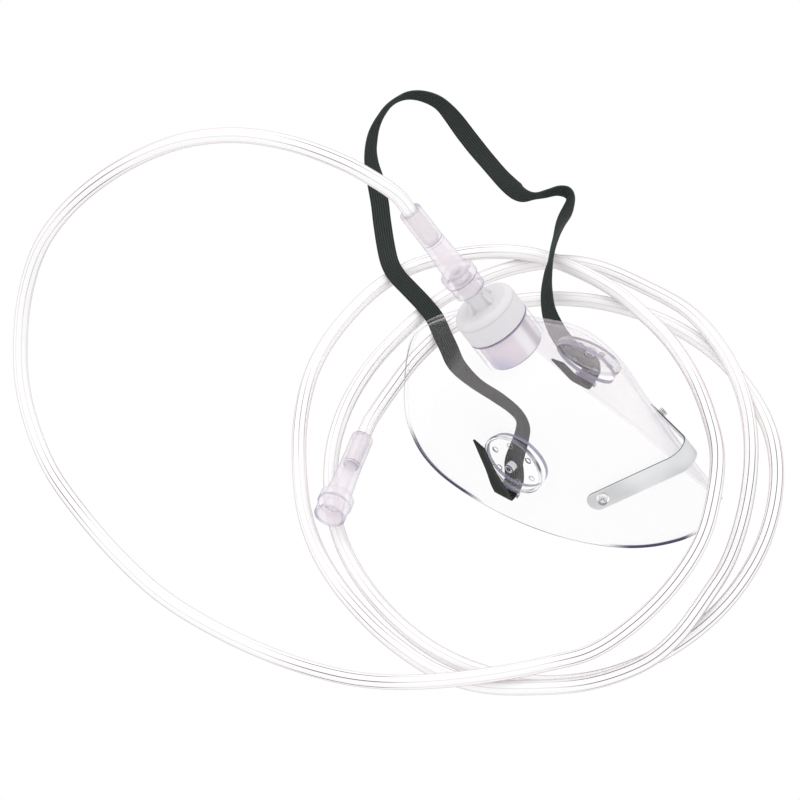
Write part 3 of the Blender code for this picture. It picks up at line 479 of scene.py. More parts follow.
def clear_vinyl(name, pale, dark, haze, line, turns, marks=(), veil=None):
    """Clear soft vinyl: almost unseen flat on, a thin dark line where it turns away.

    haze and line are how much it hides flat on and edge on, and turns says
    where between them the line begins and is full. veil changes both from
    place to place. marks adds more lines, each a share, a colour and a strength.
    """
    finish = Finish(name)
    edge = finish.facing().rising(*turns)
    if veil:
        hazier, bolder = veil(finish)
        haze, line = haze * hazier, line * bolder
    opaque = haze + edge * (line - haze)
    colour = finish.mixed(edge, tuple(pale), tuple(dark))
    for mark in marks:
        share, tint, strength = mark(finish)
        colour = finish.mixed(share, colour, tint)
        opaque = opaque.most(share * strength)
    grain = finish.noise(90.0)
    return finish.set(
        Base_Color=colour, Alpha=opaque, Roughness=0.10 + grain * 0.06, IOR=1.5,
        Specular_IOR_Level=0.22, Normal=finish.bump(finish.noise(14.0, 1.0), 0.10, 2.0 * MM),
    )


def far_cheek(finish, low, high):
    """0 on the near cheek and 1 on the far one."""
    return finish.along(SIDEWAYS).rising(low, high)


def rim_line(finish):
    """The cut rim is a thin line, with two thick dark stretches on the near cheek."""
    far = far_cheek(finish, -8.0, 8.0)
    forward = finish.along(FORWARD)
    off = finish.kept("from_rim")
    thin = off.falling(0.2, 0.6) * finish.patchy(26.0, 0.38, 0.62, 0.50, 0.85) * (1.0 - far * 0.6)
    thick = strongest([forward.between(*stretch) for stretch in RIM_DARK]) * (1.0 - far)
    return thin.most(off.falling(1.3, 2.0) * thick), (0.055, 0.045, 0.105), 0.92


def seam_line(finish):
    """The end of the neck, a lilac line under the cap."""
    return finish.kept("from_seam").falling(0.3, 0.8), (0.26, 0.24, 0.36), 0.85


def cheek_veil(finish):
    """The shell is clearer towards the chin and milkier on the far cheek."""
    forward = finish.along(FORWARD).rising(20.0, 28.0)
    far = far_cheek(finish, 12.0, 26.0)
    return 0.3 + forward * 0.7 + far * 1.6, 1.0 - far * 0.35


def skirt_veil(finish):
    """A disc's skirt shows less the deeper it is, and the far disc is milkier."""
    _, height = finish.place("own_place")
    top = height.rising(-1.5, -0.3)
    shown = 0.10 + top * 0.90
    return shown + top * far_cheek(finish, 0.0, 10.0) * 3.0, shown


def disc_lines(vent):
    """The outlines of a disc's bead, holes and peg."""
    outer, hole, peg = (size / MM for size in (vent.radius, vent.hole_radius, vent.peg_radius))
    bead = outer - vent.bead_width / MM
    peg_top = vent.peg_height / MM

    def lines(finish):
        away, height = finish.place("own_place")
        middle = away()
        peg_ends = height.falling(0.2, 0.5).most(height.rising(peg_top - 0.5, peg_top - 0.2))
        rings = [
            thin_line(middle, outer, 0.50),
            thin_line(middle, bead, 0.40) * 0.8,
            thin_line(middle, peg, 0.45) * peg_ends,
        ]
        rings += [thin_line(away(along / MM, across / MM), hole, 0.5)
                  for along, across in vent_middles(vent)]
        share = strongest(rings) * height.rising(-0.7, -0.3)
        return share * finish.patchy(110.0, 0.40, 0.58, 0.50), (0.07, 0.065, 0.12), 0.90
    return lines


def peg_body(vent):
    """The peg is milkier than its disc, and its bore is painted dark as painted shade."""
    bore, peg = vent.peg_bore / MM, vent.peg_radius / MM

    def body(finish):
        away, height = finish.place("own_place")
        middle = away()
        outside = middle.rising(bore, bore + 0.3)
        share = height.rising(0.1, 0.4) * middle.falling(peg + 0.4, peg + 0.6)
        # Painted shade: the peg's bore is coloured dark
        tint = finish.mixed(outside, (0.12, 0.11, 0.15), (0.88, 0.86, 0.88))
        return share * (1.0 - finish.facing().rising(0.45, 0.85) * outside), tint, 0.75
    return body


def pin_rings(finish):
    """Dark rings round a clip's pin."""
    _, height = finish.place("own_place")
    rings = [thin_line(height, level, 0.25) for level in (0.6, 1.3, 1.9)]
    return strongest(rings), (0.12, 0.12, 0.15), 0.45


def connector_rings(connector):
    """Faint rings where a connector's outline steps, and at the tube's end in it."""
    length, skirt, flange, pocket = (size / MM for size in (
        connector.length, connector.skirt_length, connector.flange_length, connector.pocket))
    levels = (
        (0.2, 0.5, 1.0), (skirt, 0.6, 1.0), (skirt + flange, 0.4, 0.6),
        (length - pocket - 1.3, 0.3, 0.5), (length - pocket + 0.1, 0.4, 1.0), (length - 0.3, 0.5, 1.0),
    )

    def rings(finish):
        _, height = finish.place("own_place")
        share = strongest([thin_line(height, level, reach) * strength for level, reach, strength in levels])
        return share * finish.patchy(90.0, 0.40, 0.60, 0.50), (0.34, 0.31, 0.45), 0.62
    return rings


def bore_ridges(finish):
    """The ridges inside the tube's star-shaped bore, which turn slowly along it."""
    along, across = finish.parts(finish.node("ShaderNodeTexCoord", {}, {}).outputs["UV"])
    wander = finish.noise(7.0, 1.0)
    wave = finish.amount("ShaderNodeMath", {"operation": "COSINE"},
                         {0: across * (2 * math.pi * BORE_RIDGES) + along * 14.0 + wander * 2.4})
    return wave.rising(0.80, 0.98) * finish.patchy(11.0, 0.42, 0.60, 0.25), (0.16, 0.13, 0.14), 0.97


def frosted_vinyl(name, colour, plug_depth):
    """Milky soft vinyl with a fine eggshell grain. Its plug is smooth, with a
    painted highlight and painted shade in bands along it, more painted shade low
    on its side away from the light, and a dark edge at its end."""
    finish = Finish(name)
    colour = tuple(colour)
    edge = finish.facing().rising(0.45, 1.0)
    cloud = finish.noise(70.0, 3.0)
    height = finish.along(PORT_AXIS, PORT_TOP)
    # How far across the plug's painted light a place lies, in neck radii
    side = finish.along(PLUG_LIGHT_WAY, PORT_TOP) * (MM / NECK_RADIUS)
    plug_end = -plug_depth / MM
    plug = height.falling(-0.3, 0.3)
    shoulder = thin_line(height, CAP_SIDE / MM, 0.5)
    body = finish.mixed(edge, colour, tuple(0.80 * part for part in colour))
    body = finish.mixed(shoulder * 0.4, body, tuple(0.6 * part for part in colour))
    body = finish.mixed(cloud * 0.25, body, (0.93, 0.92, 0.95))
    # Painted shade: lilac and darker low on the plug, on its side away from the light
    corner = side.falling(-0.9, 0.0) * height.falling(plug_end, plug_end + 10.0)
    inner = finish.mixed(corner, (0.82, 0.75, 0.82), (0.55, 0.52, 0.74))
    # Painted highlight: a pale streak along the plug, with a grey band of painted shade beside it
    inner = finish.mixed(side.between(0.05, 0.25, 0.40, 0.52) * 0.9, inner, (0.97, 0.96, 0.98))
    inner = finish.mixed(side.between(0.46, 0.60, 0.66, 0.80) * 0.8, inner, (0.48, 0.47, 0.50))
    inner = finish.mixed(height.falling(plug_end + 0.1, plug_end + 0.7), inner, (0.22, 0.20, 0.30))
    return finish.set(
        Base_Color=finish.mixed(plug, body, inner), Roughness=0.42 + cloud * 0.14 - plug * 0.30,
        Alpha=0.84 + edge * 0.14, IOR=1.5, Normal=finish.bump(finish.noise(1400.0), 0.08, 0.1 * MM),
    )


def satin_aluminium(name, colour):
    """Rolled strip with fine lines along it, its edge faces coloured dark."""
    finish = Finish(name)
    lines = finish.noise(500.0, 3.0, (1.0, 0.05, 1.0))
    cloud = finish.noise(32.0, 1.0).rising(0.36, 0.66)
    tone = finish.mixed(cloud, tuple(colour), tuple(min(1.0, 1.40 * part) for part in colour))
    return finish.set(
        # The strip's edge faces are coloured dark
        Base_Color=finish.mixed(finish.kept("edge_faces"), tone, (0.13, 0.13, 0.13)), Metallic=1.0,
        Roughness=0.30 + lines * 0.16, Normal=finish.bump(lines, 0.12, 0.1 * MM),
    )


def ribbed_elastic(name, colour, ribs):
    """Knitted elastic: cords lengthwise, with fine threads across them, the cords'
    tops painted lighter as a painted highlight and the grooves darker as painted shade.
    """
    finish = Finish(name)
    across, along = finish.parts(finish.node("ShaderNodeUVMap", {}, {}).outputs[0])
    cord = finish.amount("ShaderNodeMath", {"operation": "COSINE"}, {0: across * (2 * math.pi * ribs)})
    thread = finish.amount("ShaderNodeMath", {"operation": "SINE"}, {0: along * 60.0 + cord * 1.2})
    weave = cord * 0.38 + thread * 0.12 + 0.5
    fluff = finish.noise(2200.0, 2.0)
    # Painted highlight and painted shade: the cords' tops are coloured lighter and the grooves darker; the
    # threads and the fluff are the elastic's own texture
    painted_highlight_and_fluff = tuple(min(1.0, 5.5 * part) for part in colour)
    return finish.set(
        Base_Color=finish.mixed(weave.rising(0.30, 1.0) * 0.8 + fluff * 0.15, tuple(colour), painted_highlight_and_fluff),
        Roughness=0.80 + fluff * 0.18, Specular_IOR_Level=0.3,
        Sheen_Weight=0.06, Sheen_Roughness=0.4, Sheen_Tint=(0.55, 0.70, 0.62),
        Normal=finish.bump(weave + fluff * 0.4, 0.9, 0.2 * MM),
    )


# Pieces

def placed(name, data):
    """A new object in the scene."""
    item = bpy.data.objects.new(name, data)
    bpy.context.scene.collection.objects.link(item)
    return item


def add_piece(name, data, node, material):
    """Put a finished shape in the scene in place of its solid."""
    data.transform(Matrix.Translation(-CENTRE))
    data.materials.append(material)
    item = placed(name, data)
    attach(item, "root")
    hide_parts(node)
    return item


def add_pair(name, mesh, material):
    """Put a small piece of the shell on both cheeks."""
    add_piece(f"{name}_near", other_cheek(mesh), "mask_shell", material)
    add_piece(f"{name}_far", mesh, "mask_shell", material)


def shaded(mesh, angle):
    """Shade a mesh smooth, with the edges sharper than an angle kept sharp."""
    mesh.shade_smooth()
    mesh.set_sharp_from_angle(angle=math.radians(angle))
    return mesh


def finished(shape, name, angle=40.0):
    """Close a shape, turn its faces out and shade it smooth."""
    bmesh.ops.remove_doubles(shape, verts=shape.verts, dist=MERGE_DISTANCE)
    bmesh.ops.recalc_face_normals(shape, faces=shape.faces)
    mesh = bpy.data.meshes.new(name)
    shape.to_mesh(mesh)
    shape.free()
    return shaded(mesh, angle)


def rounded(shape, edges, offset, segments=2):
    """Round some edges of a shape."""
    bmesh.ops.bevel(shape, geom=edges, offset=offset, segments=segments, profile=0.5,
                    affect="EDGES", material=-1)


def modified(mesh, steps):
    """The mesh after some modifiers; a cutter is a mesh too."""
    blank = placed("blank", mesh)
    cutters = []
    for kind, settings in steps:
        change = blank.modifiers.new(kind, kind)
        for key, value in settings.items():
            if isinstance(value, bpy.types.Mesh):
                value = placed("cutter", value)
                cutters.append(value)
            setattr(change, key, value)
    seen = blank.evaluated_get(bpy.context.evaluated_depsgraph_get())
    result = bpy.data.meshes.new_from_object(seen)
    for item in (*cutters, blank):
        bpy.data.objects.remove(item)
    return result


def without(mesh, cutters):
    """The mesh with each cutter taken out of it."""
    return modified(mesh, [("BOOLEAN", {"object": cutter, "solver": "EXACT"}) for cutter in cutters])


def keep_place(mesh, start=0.0):
    """Keep each corner's own place in millimetres, its height from a start."""
    kept = mesh.attributes.new("own_place", "FLOAT_VECTOR", "POINT")
    for corner, value in zip(mesh.vertices, kept.data):
        value.vector = (corner.co - Vector((0.0, 0.0, start))) / MM


def standing(direction, foot):
    """The turn and place that stand a shape made along +Z on a point."""
    return Matrix.Translation(foot) @ direction.to_track_quat("Z", "Y").to_matrix().to_4x4()


def other_cheek(mesh):
    """The same mesh on the -Y cheek."""
    shape = bmesh.new()
    shape.from_mesh(mesh)
    bmesh.ops.scale(shape, vec=(1.0, -1.0, 1.0), verts=shape.verts)
    return finished(shape, mesh.name)


def both_cheeks(mesh):
    return mesh, other_cheek(mesh)


def softened(profile, reach, closed):
    """A profile with each corner cut back by up to reach and rounded."""
    points = [Vector((radius, height)) for radius, height in profile]
    result = []
    for index, corner in enumerate(points):
        before = points[index - 1] - corner
        after = points[(index + 1) % len(points)] - corner
        if not closed and index in (0, len(points) - 1):
            result.append(corner)
            continue
        cut = min(reach, before.length * 0.4, after.length * 0.4)
        start = corner + before.normalized() * cut
        end = corner + after.normalized() * cut
        for step in range(5):
            share = step / 4
            result.append(start.lerp(corner, share).lerp(corner.lerp(end, share), share))
    return result


def turned(profile, name, reach=0.3 * MM, steps=96):
    """A solid turned round +Z; a profile that starts off the axis is closed."""
    hollow = profile[0][0] > 0.0
    shape = bmesh.new()
    corners = [shape.verts.new((point[0], 0.0, point[1]))
               for point in softened(profile, reach, hollow)]
    edges = [shape.edges.new(pair) for pair in zip(corners, corners[1:])]
    if hollow:
        edges.append(shape.edges.new((corners[-1], corners[0])))
    bmesh.ops.spin(shape, geom=corners + edges, cent=(0.0, 0.0, 0.0), axis=(0.0, 0.0, 1.0),
                   angle=2 * math.pi, steps=steps, use_merge=True)
    return finished(shape, name, 50.0)


def rod(radius, low, high, steps=48):
    """A round bar along +Z, for cutting."""
    shape = bmesh.new()
    bmesh.ops.create_cone(shape, cap_ends=True, segments=steps, radius1=radius, radius2=radius,
                          depth=high - low, matrix=Matrix.Translation((0.0, 0.0, (low + high) / 2)))
    return finished(shape, "rod")


# Curves

def catmull_rom(before, start_value, end_value, after, share):
    """The smooth curve between two of four values."""
    square = share * share
    cube = square * share
    return 0.5 * (
        2.0 * start_value
        + (end_value - before) * share
        + (2.0 * before - 5.0 * start_value + 4.0 * end_value - after) * square
        + (3.0 * start_value - before - 3.0 * end_value + after) * cube
    )


def through(points, position, before=None, after=None):
    """A point on the smooth curve through points, at a position counted in points."""
    before = before or tuple(2 * a - b for a, b in zip(points[0], points[1]))
    after = after or tuple(2 * a - b for a, b in zip(points[-1], points[-2]))
    padded = [before, *points, after]
    first = min(int(position), len(points) - 2)
    return [catmull_rom(*four, position - first) for four in zip(*padded[first:first + 4])]


def mix(low, high, share):
    return low + (high - low) * share


def running_lengths(points):
    """The length of the line through points, up to each of them."""
    lengths = [0.0]
    for here, there in zip(points, points[1:]):
        lengths.append(lengths[-1] + (there - here).length)
    return lengths


# Shell

def dome_point(around, up):
    """A point on the outside of the dome on its +Y half.

    around runs from 0 at the chin to 1 at the nose, up from 0 at the rim to 1
    at the foot of the neck, and past 1 up the neck.
    """
    first, last = RIM_STATIONS[1], RIM_STATIONS[-2]
    signs = (1, -1, 1, 1, -1, 1)
    before = tuple(value * sign for value, sign in zip(first, signs))
    after = tuple(value * sign for value, sign in zip(last, signs))
    station = through(RIM_STATIONS, around * (len(RIM_STATIONS) - 1), before, after)
    along, half_width, height, forward, inward, upward = (value * MM for value in station)
    rim = Vector((along, half_width, height))
    leave = rim + Vector((forward, -inward, upward))
    turn = math.pi * (1.0 - around - NECK_TURN * math.sin(math.pi * around))
    radial = PORT_ACROSS * math.cos(turn) + Vector((0.0, math.sin(turn), 0.0))
    neck = NECK_FOOT + radial * NECK_RADIUS
    if up > 1.0:
        return neck + PORT_AXIS * NECK_LENGTH * (up - 1.0)
    slope = mix(FLARE_AT_CHIN, FLARE_AT_NOSE, around)
    if around < 0.5:
        reach = mix(FLARE_REACH_CHIN, FLARE_REACH_SIDE, around * 2)
    else:
        reach = mix(FLARE_REACH_SIDE, FLARE_REACH_NOSE, around * 2 - 1)
    arrive = neck + (radial * math.cos(slope) - PORT_AXIS * math.sin(slope)) * reach
    down = 1.0 - up
    return (rim * down ** 3 + leave * 3 * down * down * up
            + arrive * 3 * down * up * up + neck * up ** 3)


def shell_surface(settings):
    """The outside of the +Y half as a grid.

    Each corner keeps its distance in millimetres from the rim and from the
    neck's end.
    """
    shape = bmesh.new()
    distances = [shape.verts.layers.float.new(name) for name in ("from_rim", "from_seam")]
    bmesh.ops.create_grid(shape, x_segments=settings.steps_around, y_segments=settings.steps_up, size=1.0)
    for corner in shape.verts:
        around = min(1.0, max(0.0, (corner.co.x + 1.0) / 2))
        corner.co = dome_point(around, corner.co.y + 1.0)
        for layer, level in zip(distances, (0.0, 2.0)):
            corner[layer] = (corner.co - dome_point(around, level)).length / MM
        if around < 0.0001 or around > 0.9999:
            corner.co.y = 0.0
    return shape


def wall_point(tree, along, height):
    """Where the wall's outside lies on the +Y cheek."""
    return tree.ray_cast(Vector((along, REACH * 10, height)), -SIDEWAYS)[0]


def cheek_seat(tree, radius):
    """The middle of a vent disc on the cheek, and the way it faces."""
    span = radius * 0.8
    fore, aft = (wall_point(tree, DISC_X + shift, DISC_Z) for shift in (span, -span))
    top, low = (wall_point(tree, DISC_X, DISC_Z + shift) for shift in (span, -span))
    facing = Matrix.Rotation(DISC_TURN, 3, "Z") @ (top - low).cross(fore - aft).normalized()
    return (fore + aft + top + low) / 4, facing


def disc_depths(tree, seat, facing, settings, wall):
    """The disc's top and the foot of its skirt, measured from its seat."""
    side = facing.cross(UP).normalized()
    upright = side.cross(facing)
    depths = []
    for step in range(32):
        turn = 2 * math.pi * step / 32
        edge = seat + (side * math.cos(turn) + upright * math.sin(turn)) * settings.radius
        depths.append((wall_point(tree, edge.x, edge.z) - seat).dot(facing))
    return max(0.0, *depths) + settings.proud, min(depths) - wall


def vent_middles(settings):
    """The middles of a disc's holes, round its own middle."""
    turns = [2 * math.pi * step / settings.holes + VENT_TURN for step in range(settings.holes)]
    circle = settings.hole_circle
    return [(circle * math.cos(turn), circle * math.sin(turn)) for turn in turns]


def vent_disc(settings, top, low):
    """A flat disc with a bead, a skirt, a hollow peg and holes, made along +Z."""
    inner = settings.radius - settings.skirt
    bead_inner = settings.radius - settings.bead_width
    drum = turned((
        (0.0, top), (settings.peg_bore, top), (settings.peg_bore, top + settings.peg_height),
        (settings.peg_radius, top + settings.peg_height), (settings.peg_radius, top),
        (bead_inner, top), (bead_inner, top + settings.bead_height),
        (settings.radius, top + settings.bead_height), (settings.radius, low), (inner, low),
        (inner, top - settings.plate), (0.0, top - settings.plate),
    ), "vent_disc", 0.25 * MM)
    holes = []
    for along, across in vent_middles(settings):
        hole = rod(settings.hole_radius, top - settings.plate * 2, top + settings.plate, 24)
        hole.transform(Matrix.Translation((along, across, 0.0)))
        holes.append(hole)
    disc = without(drum, holes)
    keep_place(disc, top)
    return disc


def shell_tree(settings):
    """The shell's outside, to find places on it."""
    shape = shell_surface(settings)
    tree = BVHTree.FromBMesh(shape)
    shape.free()
    return tree


def slot_middle(tree, wall):
    """The middle of the strap slot in the +Y cheek."""
    return wall_point(tree, SLOT_X, SLOT_Z) - SIDEWAYS * (wall / 2)


def clip_half_bend(settings):
    """Half the angle that the clip turns, and a leg's length to its pin."""
    rise = settings.pin_drop - settings.bend_radius
    reach = math.hypot(settings.pin_half_span, rise)
    lean = math.atan2(settings.pin_half_span, rise) - math.asin(settings.bend_radius / reach)
    return math.pi / 2 - lean, math.sqrt(reach ** 2 - settings.bend_radius ** 2)


def clip_pin_distance(settings):
    """The way along the strip from the middle of its bend to a pin."""
    bend, leg = clip_half_bend(settings)
    return settings.bend_radius * bend + leg


def clip_place(settings, distance):
    """A point on the strip's middle surface and the way it faces there."""
    bend, _ = clip_half_bend(settings)
    angle = max(-bend, min(bend, distance / settings.bend_radius))
    straight = distance - settings.bend_radius * angle
    across = settings.bend_radius * math.sin(angle) + straight * math.cos(angle)
    drop = settings.bend_radius * (1 - math.cos(angle)) + straight * math.sin(angle)
    point = CLIP_APEX + SIDEWAYS * across - CLIP_ALONG * drop
    return point, SIDEWAYS * math.sin(angle) + CLIP_ALONG * math.cos(angle)


# Tube and strap

def connector_ends():
    """Mouth and way of the connector on the mask, then of the free one."""
    mouth = PORT_TOP + PORT_AXIS * CUFF_ABOVE_NECK
    return (mouth, PORT_AXIS), (FREE_CUFF_MOUTH, (FREE_CUFF_TUBE_END - FREE_CUFF_MOUTH).normalized())


def tube_points(connector, wanted):
    """Evenly spaced points along the whole tube, from pocket to pocket."""
    first, last = connector_ends()
    floor = connector.length - connector.pocket + CLEARANCE
    steps = (connector.length + CLEARANCE, connector.length + TUBE_STRAIGHT)
    route = [first[0] + first[1] * step for step in steps]
    route += [Vector(point) * MM for point in TUBE_ROUTE]
    route += [last[0] + last[1] * step for step in reversed(steps)]
    fine = 24
    curve = [Vector(through(route, index / fine)) for index in range((len(route) - 1) * fine + 1)]
    curve = [first[0] + first[1] * floor, *curve, last[0] + last[1] * floor]
    lengths = running_lengths(curve)
    points = []
    place = 0
    for step in range(wanted):
        target = lengths[-1] * step / (wanted - 1)
        while place < len(curve) - 2 and lengths[place + 1] < target:
            place += 1
        share = (target - lengths[place]) / (lengths[place + 1] - lengths[place])
        points.append(curve[place].lerp(curve[place + 1], share))
    return points, lengths[-1]


def tube_line(name, points, radius, sides):
    """A round or faceted tube along points."""
    data = bpy.data.curves.new(name, "CURVE")
    data.dimensions = "3D"
    data.bevel_depth = radius
    data.bevel_resolution = sides // 2 - 2
    data.use_fill_caps = True
    spline = data.splines.new("POLY")
    spline.points.add(len(points) - 1)
    for slot, point in zip(spline.points, points):
        slot.co = (*point, 1.0)
    return data


def strap_route(far):
    """All points of the strap, from its near tail to its far tail."""
    near = Vector((far.x, -far.y, far.z))
    out = SLOT_STRAIGHT
    route = [(near.x + x, near.y + y, near.z + z, lean) for x, y, z, lean in reversed(NEAR_TAIL)]
    route += [(near.x, near.y + shift, near.z, 0.0) for shift in (-out, 0.0, out)]
    route += list(NEAR_RUN)
    route += [(far.x, far.y + shift, far.z, 0.0) for shift in (out, 0.0, -out)]
    route += [(far.x + x, far.y + y, far.z + z, lean) for x, y, z, lean in FAR_TAIL]
    return route


def strap_sides(ways, steps):
    """The untwisted direction across the strap: level between the slots, and
    carried on from the slot without a twist along each tail."""
    near_slot = (len(NEAR_TAIL) + 1) * steps
    far_slot = len(ways) - 1 - (len(FAR_TAIL) + 1) * steps
    sides = [way.cross(UP).normalized() for way in ways]
    tails = [(index, index + 1) for index in range(near_slot - 1, -1, -1)]
    tails += [(index, index - 1) for index in range(far_slot + 1, len(ways))]
    for index, beside in tails:
        sides[index] = (sides[beside] - ways[index] * sides[beside].dot(ways[index])).normalized()
    return sides


def strap_mesh(settings, far):
    """The ribbed band, with its width and length kept as its UV map."""
    steps = 8
    route = strap_route(far / MM)
    rows = (len(route) - 1) * steps + 1
    samples = [through(route, index / steps) for index in range(rows)]
    middles = [Vector(sample[:3]) * MM for sample in samples]
    ways = [(middles[min(index + 1, rows - 1)] - middles[max(index - 1, 0)]).normalized()
            for index in range(rows)]
    lengths = running_lengths(middles)
    sides = strap_sides(ways, steps)
    shape = bmesh.new()
    chart = shape.loops.layers.uv.new("UVMap")
    bmesh.ops.create_grid(shape, x_segments=settings.ribs * 4, y_segments=rows - 1, size=1.0)
    places = {}
    for corner in shape.verts:
        across = corner.co.x
        row = round((corner.co.y + 1.0) / 2 * (rows - 1))
        side = Matrix.Rotation(math.radians(samples[row][3]), 3, ways[row]) @ sides[row]
        out = side.cross(ways[row])
        rib = math.cos(math.pi * settings.ribs * (across + 1.0)) * settings.rib_height / 2
        thin = 1.0 - across ** 8
        places[corner] = ((across + 1.0) / 2, lengths[row] / settings.width)
        corner.co = middles[row] + side * (across * settings.width / 2) + out * rib * thin
    for face in shape.faces:
        for loop in face.loops:
            loop[chart].uv = places[loop.vert]
    return finished(shape, "head_strap", 180.0)


# Operators

class BuildMaskShell(bpy.types.Operator):
    """Model the clear shell with its neck, vent discs and pins"""
    bl_idname = "oxygen_mask.build_shell"
    bl_label = "Mask shell"

    def execute(self, context):
        scene = context.scene
        settings, vent, clip = scene.mask_shell_settings, scene.vent_settings, scene.nose_clip_settings
        vinyl = clear_vinyl("clear shell vinyl", settings.haze, settings.edge, haze=0.07, line=0.45,
                            turns=(0.62, 0.97), marks=(rim_line, seam_line), veil=cheek_veil)
        small = clear_vinyl("clear pin vinyl", settings.haze, settings.edge, haze=0.10, line=0.60,
                            turns=(0.40, 0.95), marks=(pin_rings,))
        plate = clear_vinyl("clear disc vinyl", vent.haze, settings.edge, haze=0.08, line=0.26,
                            turns=(0.60, 0.98), marks=(peg_body(vent), disc_lines(vent)), veil=skirt_veil)
        shape = shell_surface(settings)
        tree = BVHTree.FromBMesh(shape)
        whole = modified(finished(shape, "mask_shell"), (
            ("MIRROR", {"use_axis": (False, True, False), "use_clip": True, "merge_threshold": 0.01 * MM}),
            ("SOLIDIFY", {"thickness": settings.wall, "offset": -1.0, "use_even_offset": True}),
        ))
        for corner, value in zip(whole.vertices, whole.attributes["from_rim"].data):
            outside = tree.find_nearest(Vector((corner.co.x, abs(corner.co.y), corner.co.z)))
            value.value += outside[3] / MM
        seat, facing = cheek_seat(tree, vent.radius)
        top, low = disc_depths(tree, seat, facing, vent, settings.wall)
        bore = rod(vent.radius - vent.skirt / 2, low - REACH, top + REACH, 96)
        bore.transform(standing(facing, seat))
        slot = bmesh.new()
        size = (scene.head_strap_settings.width + 2 * SLOT_PLAY, REACH, SLOT_HEIGHT, 1.0)
        place = Matrix.Translation(slot_middle(tree, settings.wall)) @ Matrix.Diagonal(size)
        bmesh.ops.create_cube(slot, size=1.0, matrix=place)
        slot = finished(slot, "slot")
        shell = shaded(without(whole, (*both_cheeks(bore), *both_cheeks(slot))), 35.0)
        add_piece("soft_shell", shell, "mask_shell", vinyl)
        disc = vent_disc(vent, top, low)
        disc.transform(standing(facing, seat))
        add_pair("vent_disc", disc, plate)
        middle, away = clip_place(clip, clip_pin_distance(clip))
        foot = tree.ray_cast(middle + away * REACH, -away)[0]
        root = (foot - middle).dot(away) - settings.wall / 2
        tip = clip.thickness / 2 + clip.pin_proud
        pin = turned((
            (0.0, 0.0), (clip.pin_bore, 0.0), (clip.pin_bore, tip), (clip.pin_radius, tip),
            (clip.pin_radius, root), (0.0, root),
        ), "clip_pin", 0.15 * MM, 32)
        keep_place(pin, clip.thickness / 2)
        pin.transform(standing(away, middle))
        add_pair("clip_pin", pin, small)
        return {"FINISHED"}


class BuildNoseClip(bpy.types.Operator):
    """Model the aluminium strip over the nose"""
    bl_idname = "oxygen_mask.build_nose_clip"
    bl_label = "Nose clip"

    def execute(self, context):
        settings = context.scene.nose_clip_settings
        half_length = clip_pin_distance(settings) + settings.end
        size = (2 * half_length, settings.width, settings.thickness, 1.0)
        shape = bmesh.new()
        bmesh.ops.create_cube(shape, size=1.0, matrix=Matrix.Diagonal(size))
        corners = [edge for edge in shape.edges
                   if abs((edge.verts[0].co - edge.verts[1].co).z) > settings.thickness / 2]
        rounded(shape, corners, settings.width * CLIP_END_ROUND, 14)
        outline = [edge for edge in shape.edges if abs(edge.verts[0].co.z - edge.verts[1].co.z) < 0.01 * MM]
        rounded(shape, outline, CLIP_EDGE_ROUND)
        bend, _ = clip_half_bend(settings)
        for step in range(-CLIP_BEND_STEPS, CLIP_BEND_STEPS + 1):
            cut = FORWARD * (settings.bend_radius * bend * step / CLIP_BEND_STEPS)
            geometry = [*shape.verts, *shape.edges, *shape.faces]
            bmesh.ops.bisect_plane(shape, geom=geometry, plane_co=cut, plane_no=FORWARD)
        dark = shape.verts.layers.float.new("edge_faces")
        for corner in shape.verts:
            distance, across, height = corner.co
            corner[dark] = 1.0 if abs(height) < settings.thickness / 2 - 0.05 * MM else 0.0
            point, facing = clip_place(settings, distance)
            corner.co = point + CLIP_ACROSS * across + facing * height
        strip = finished(shape, "nose_clip", 30.0)
        hole = rod(settings.pin_radius + settings.pin_play, -REACH / 2, REACH / 2)
        middle, facing = clip_place(settings, clip_pin_distance(settings))
        hole.transform(standing(facing, middle))
        strip = shaded(without(strip, both_cheeks(hole)), 30.0)
        material = satin_aluminium("satin aluminium", settings.colour)
        add_piece("nose_strip", strip, "nose_clip", material)
        return {"FINISHED"}


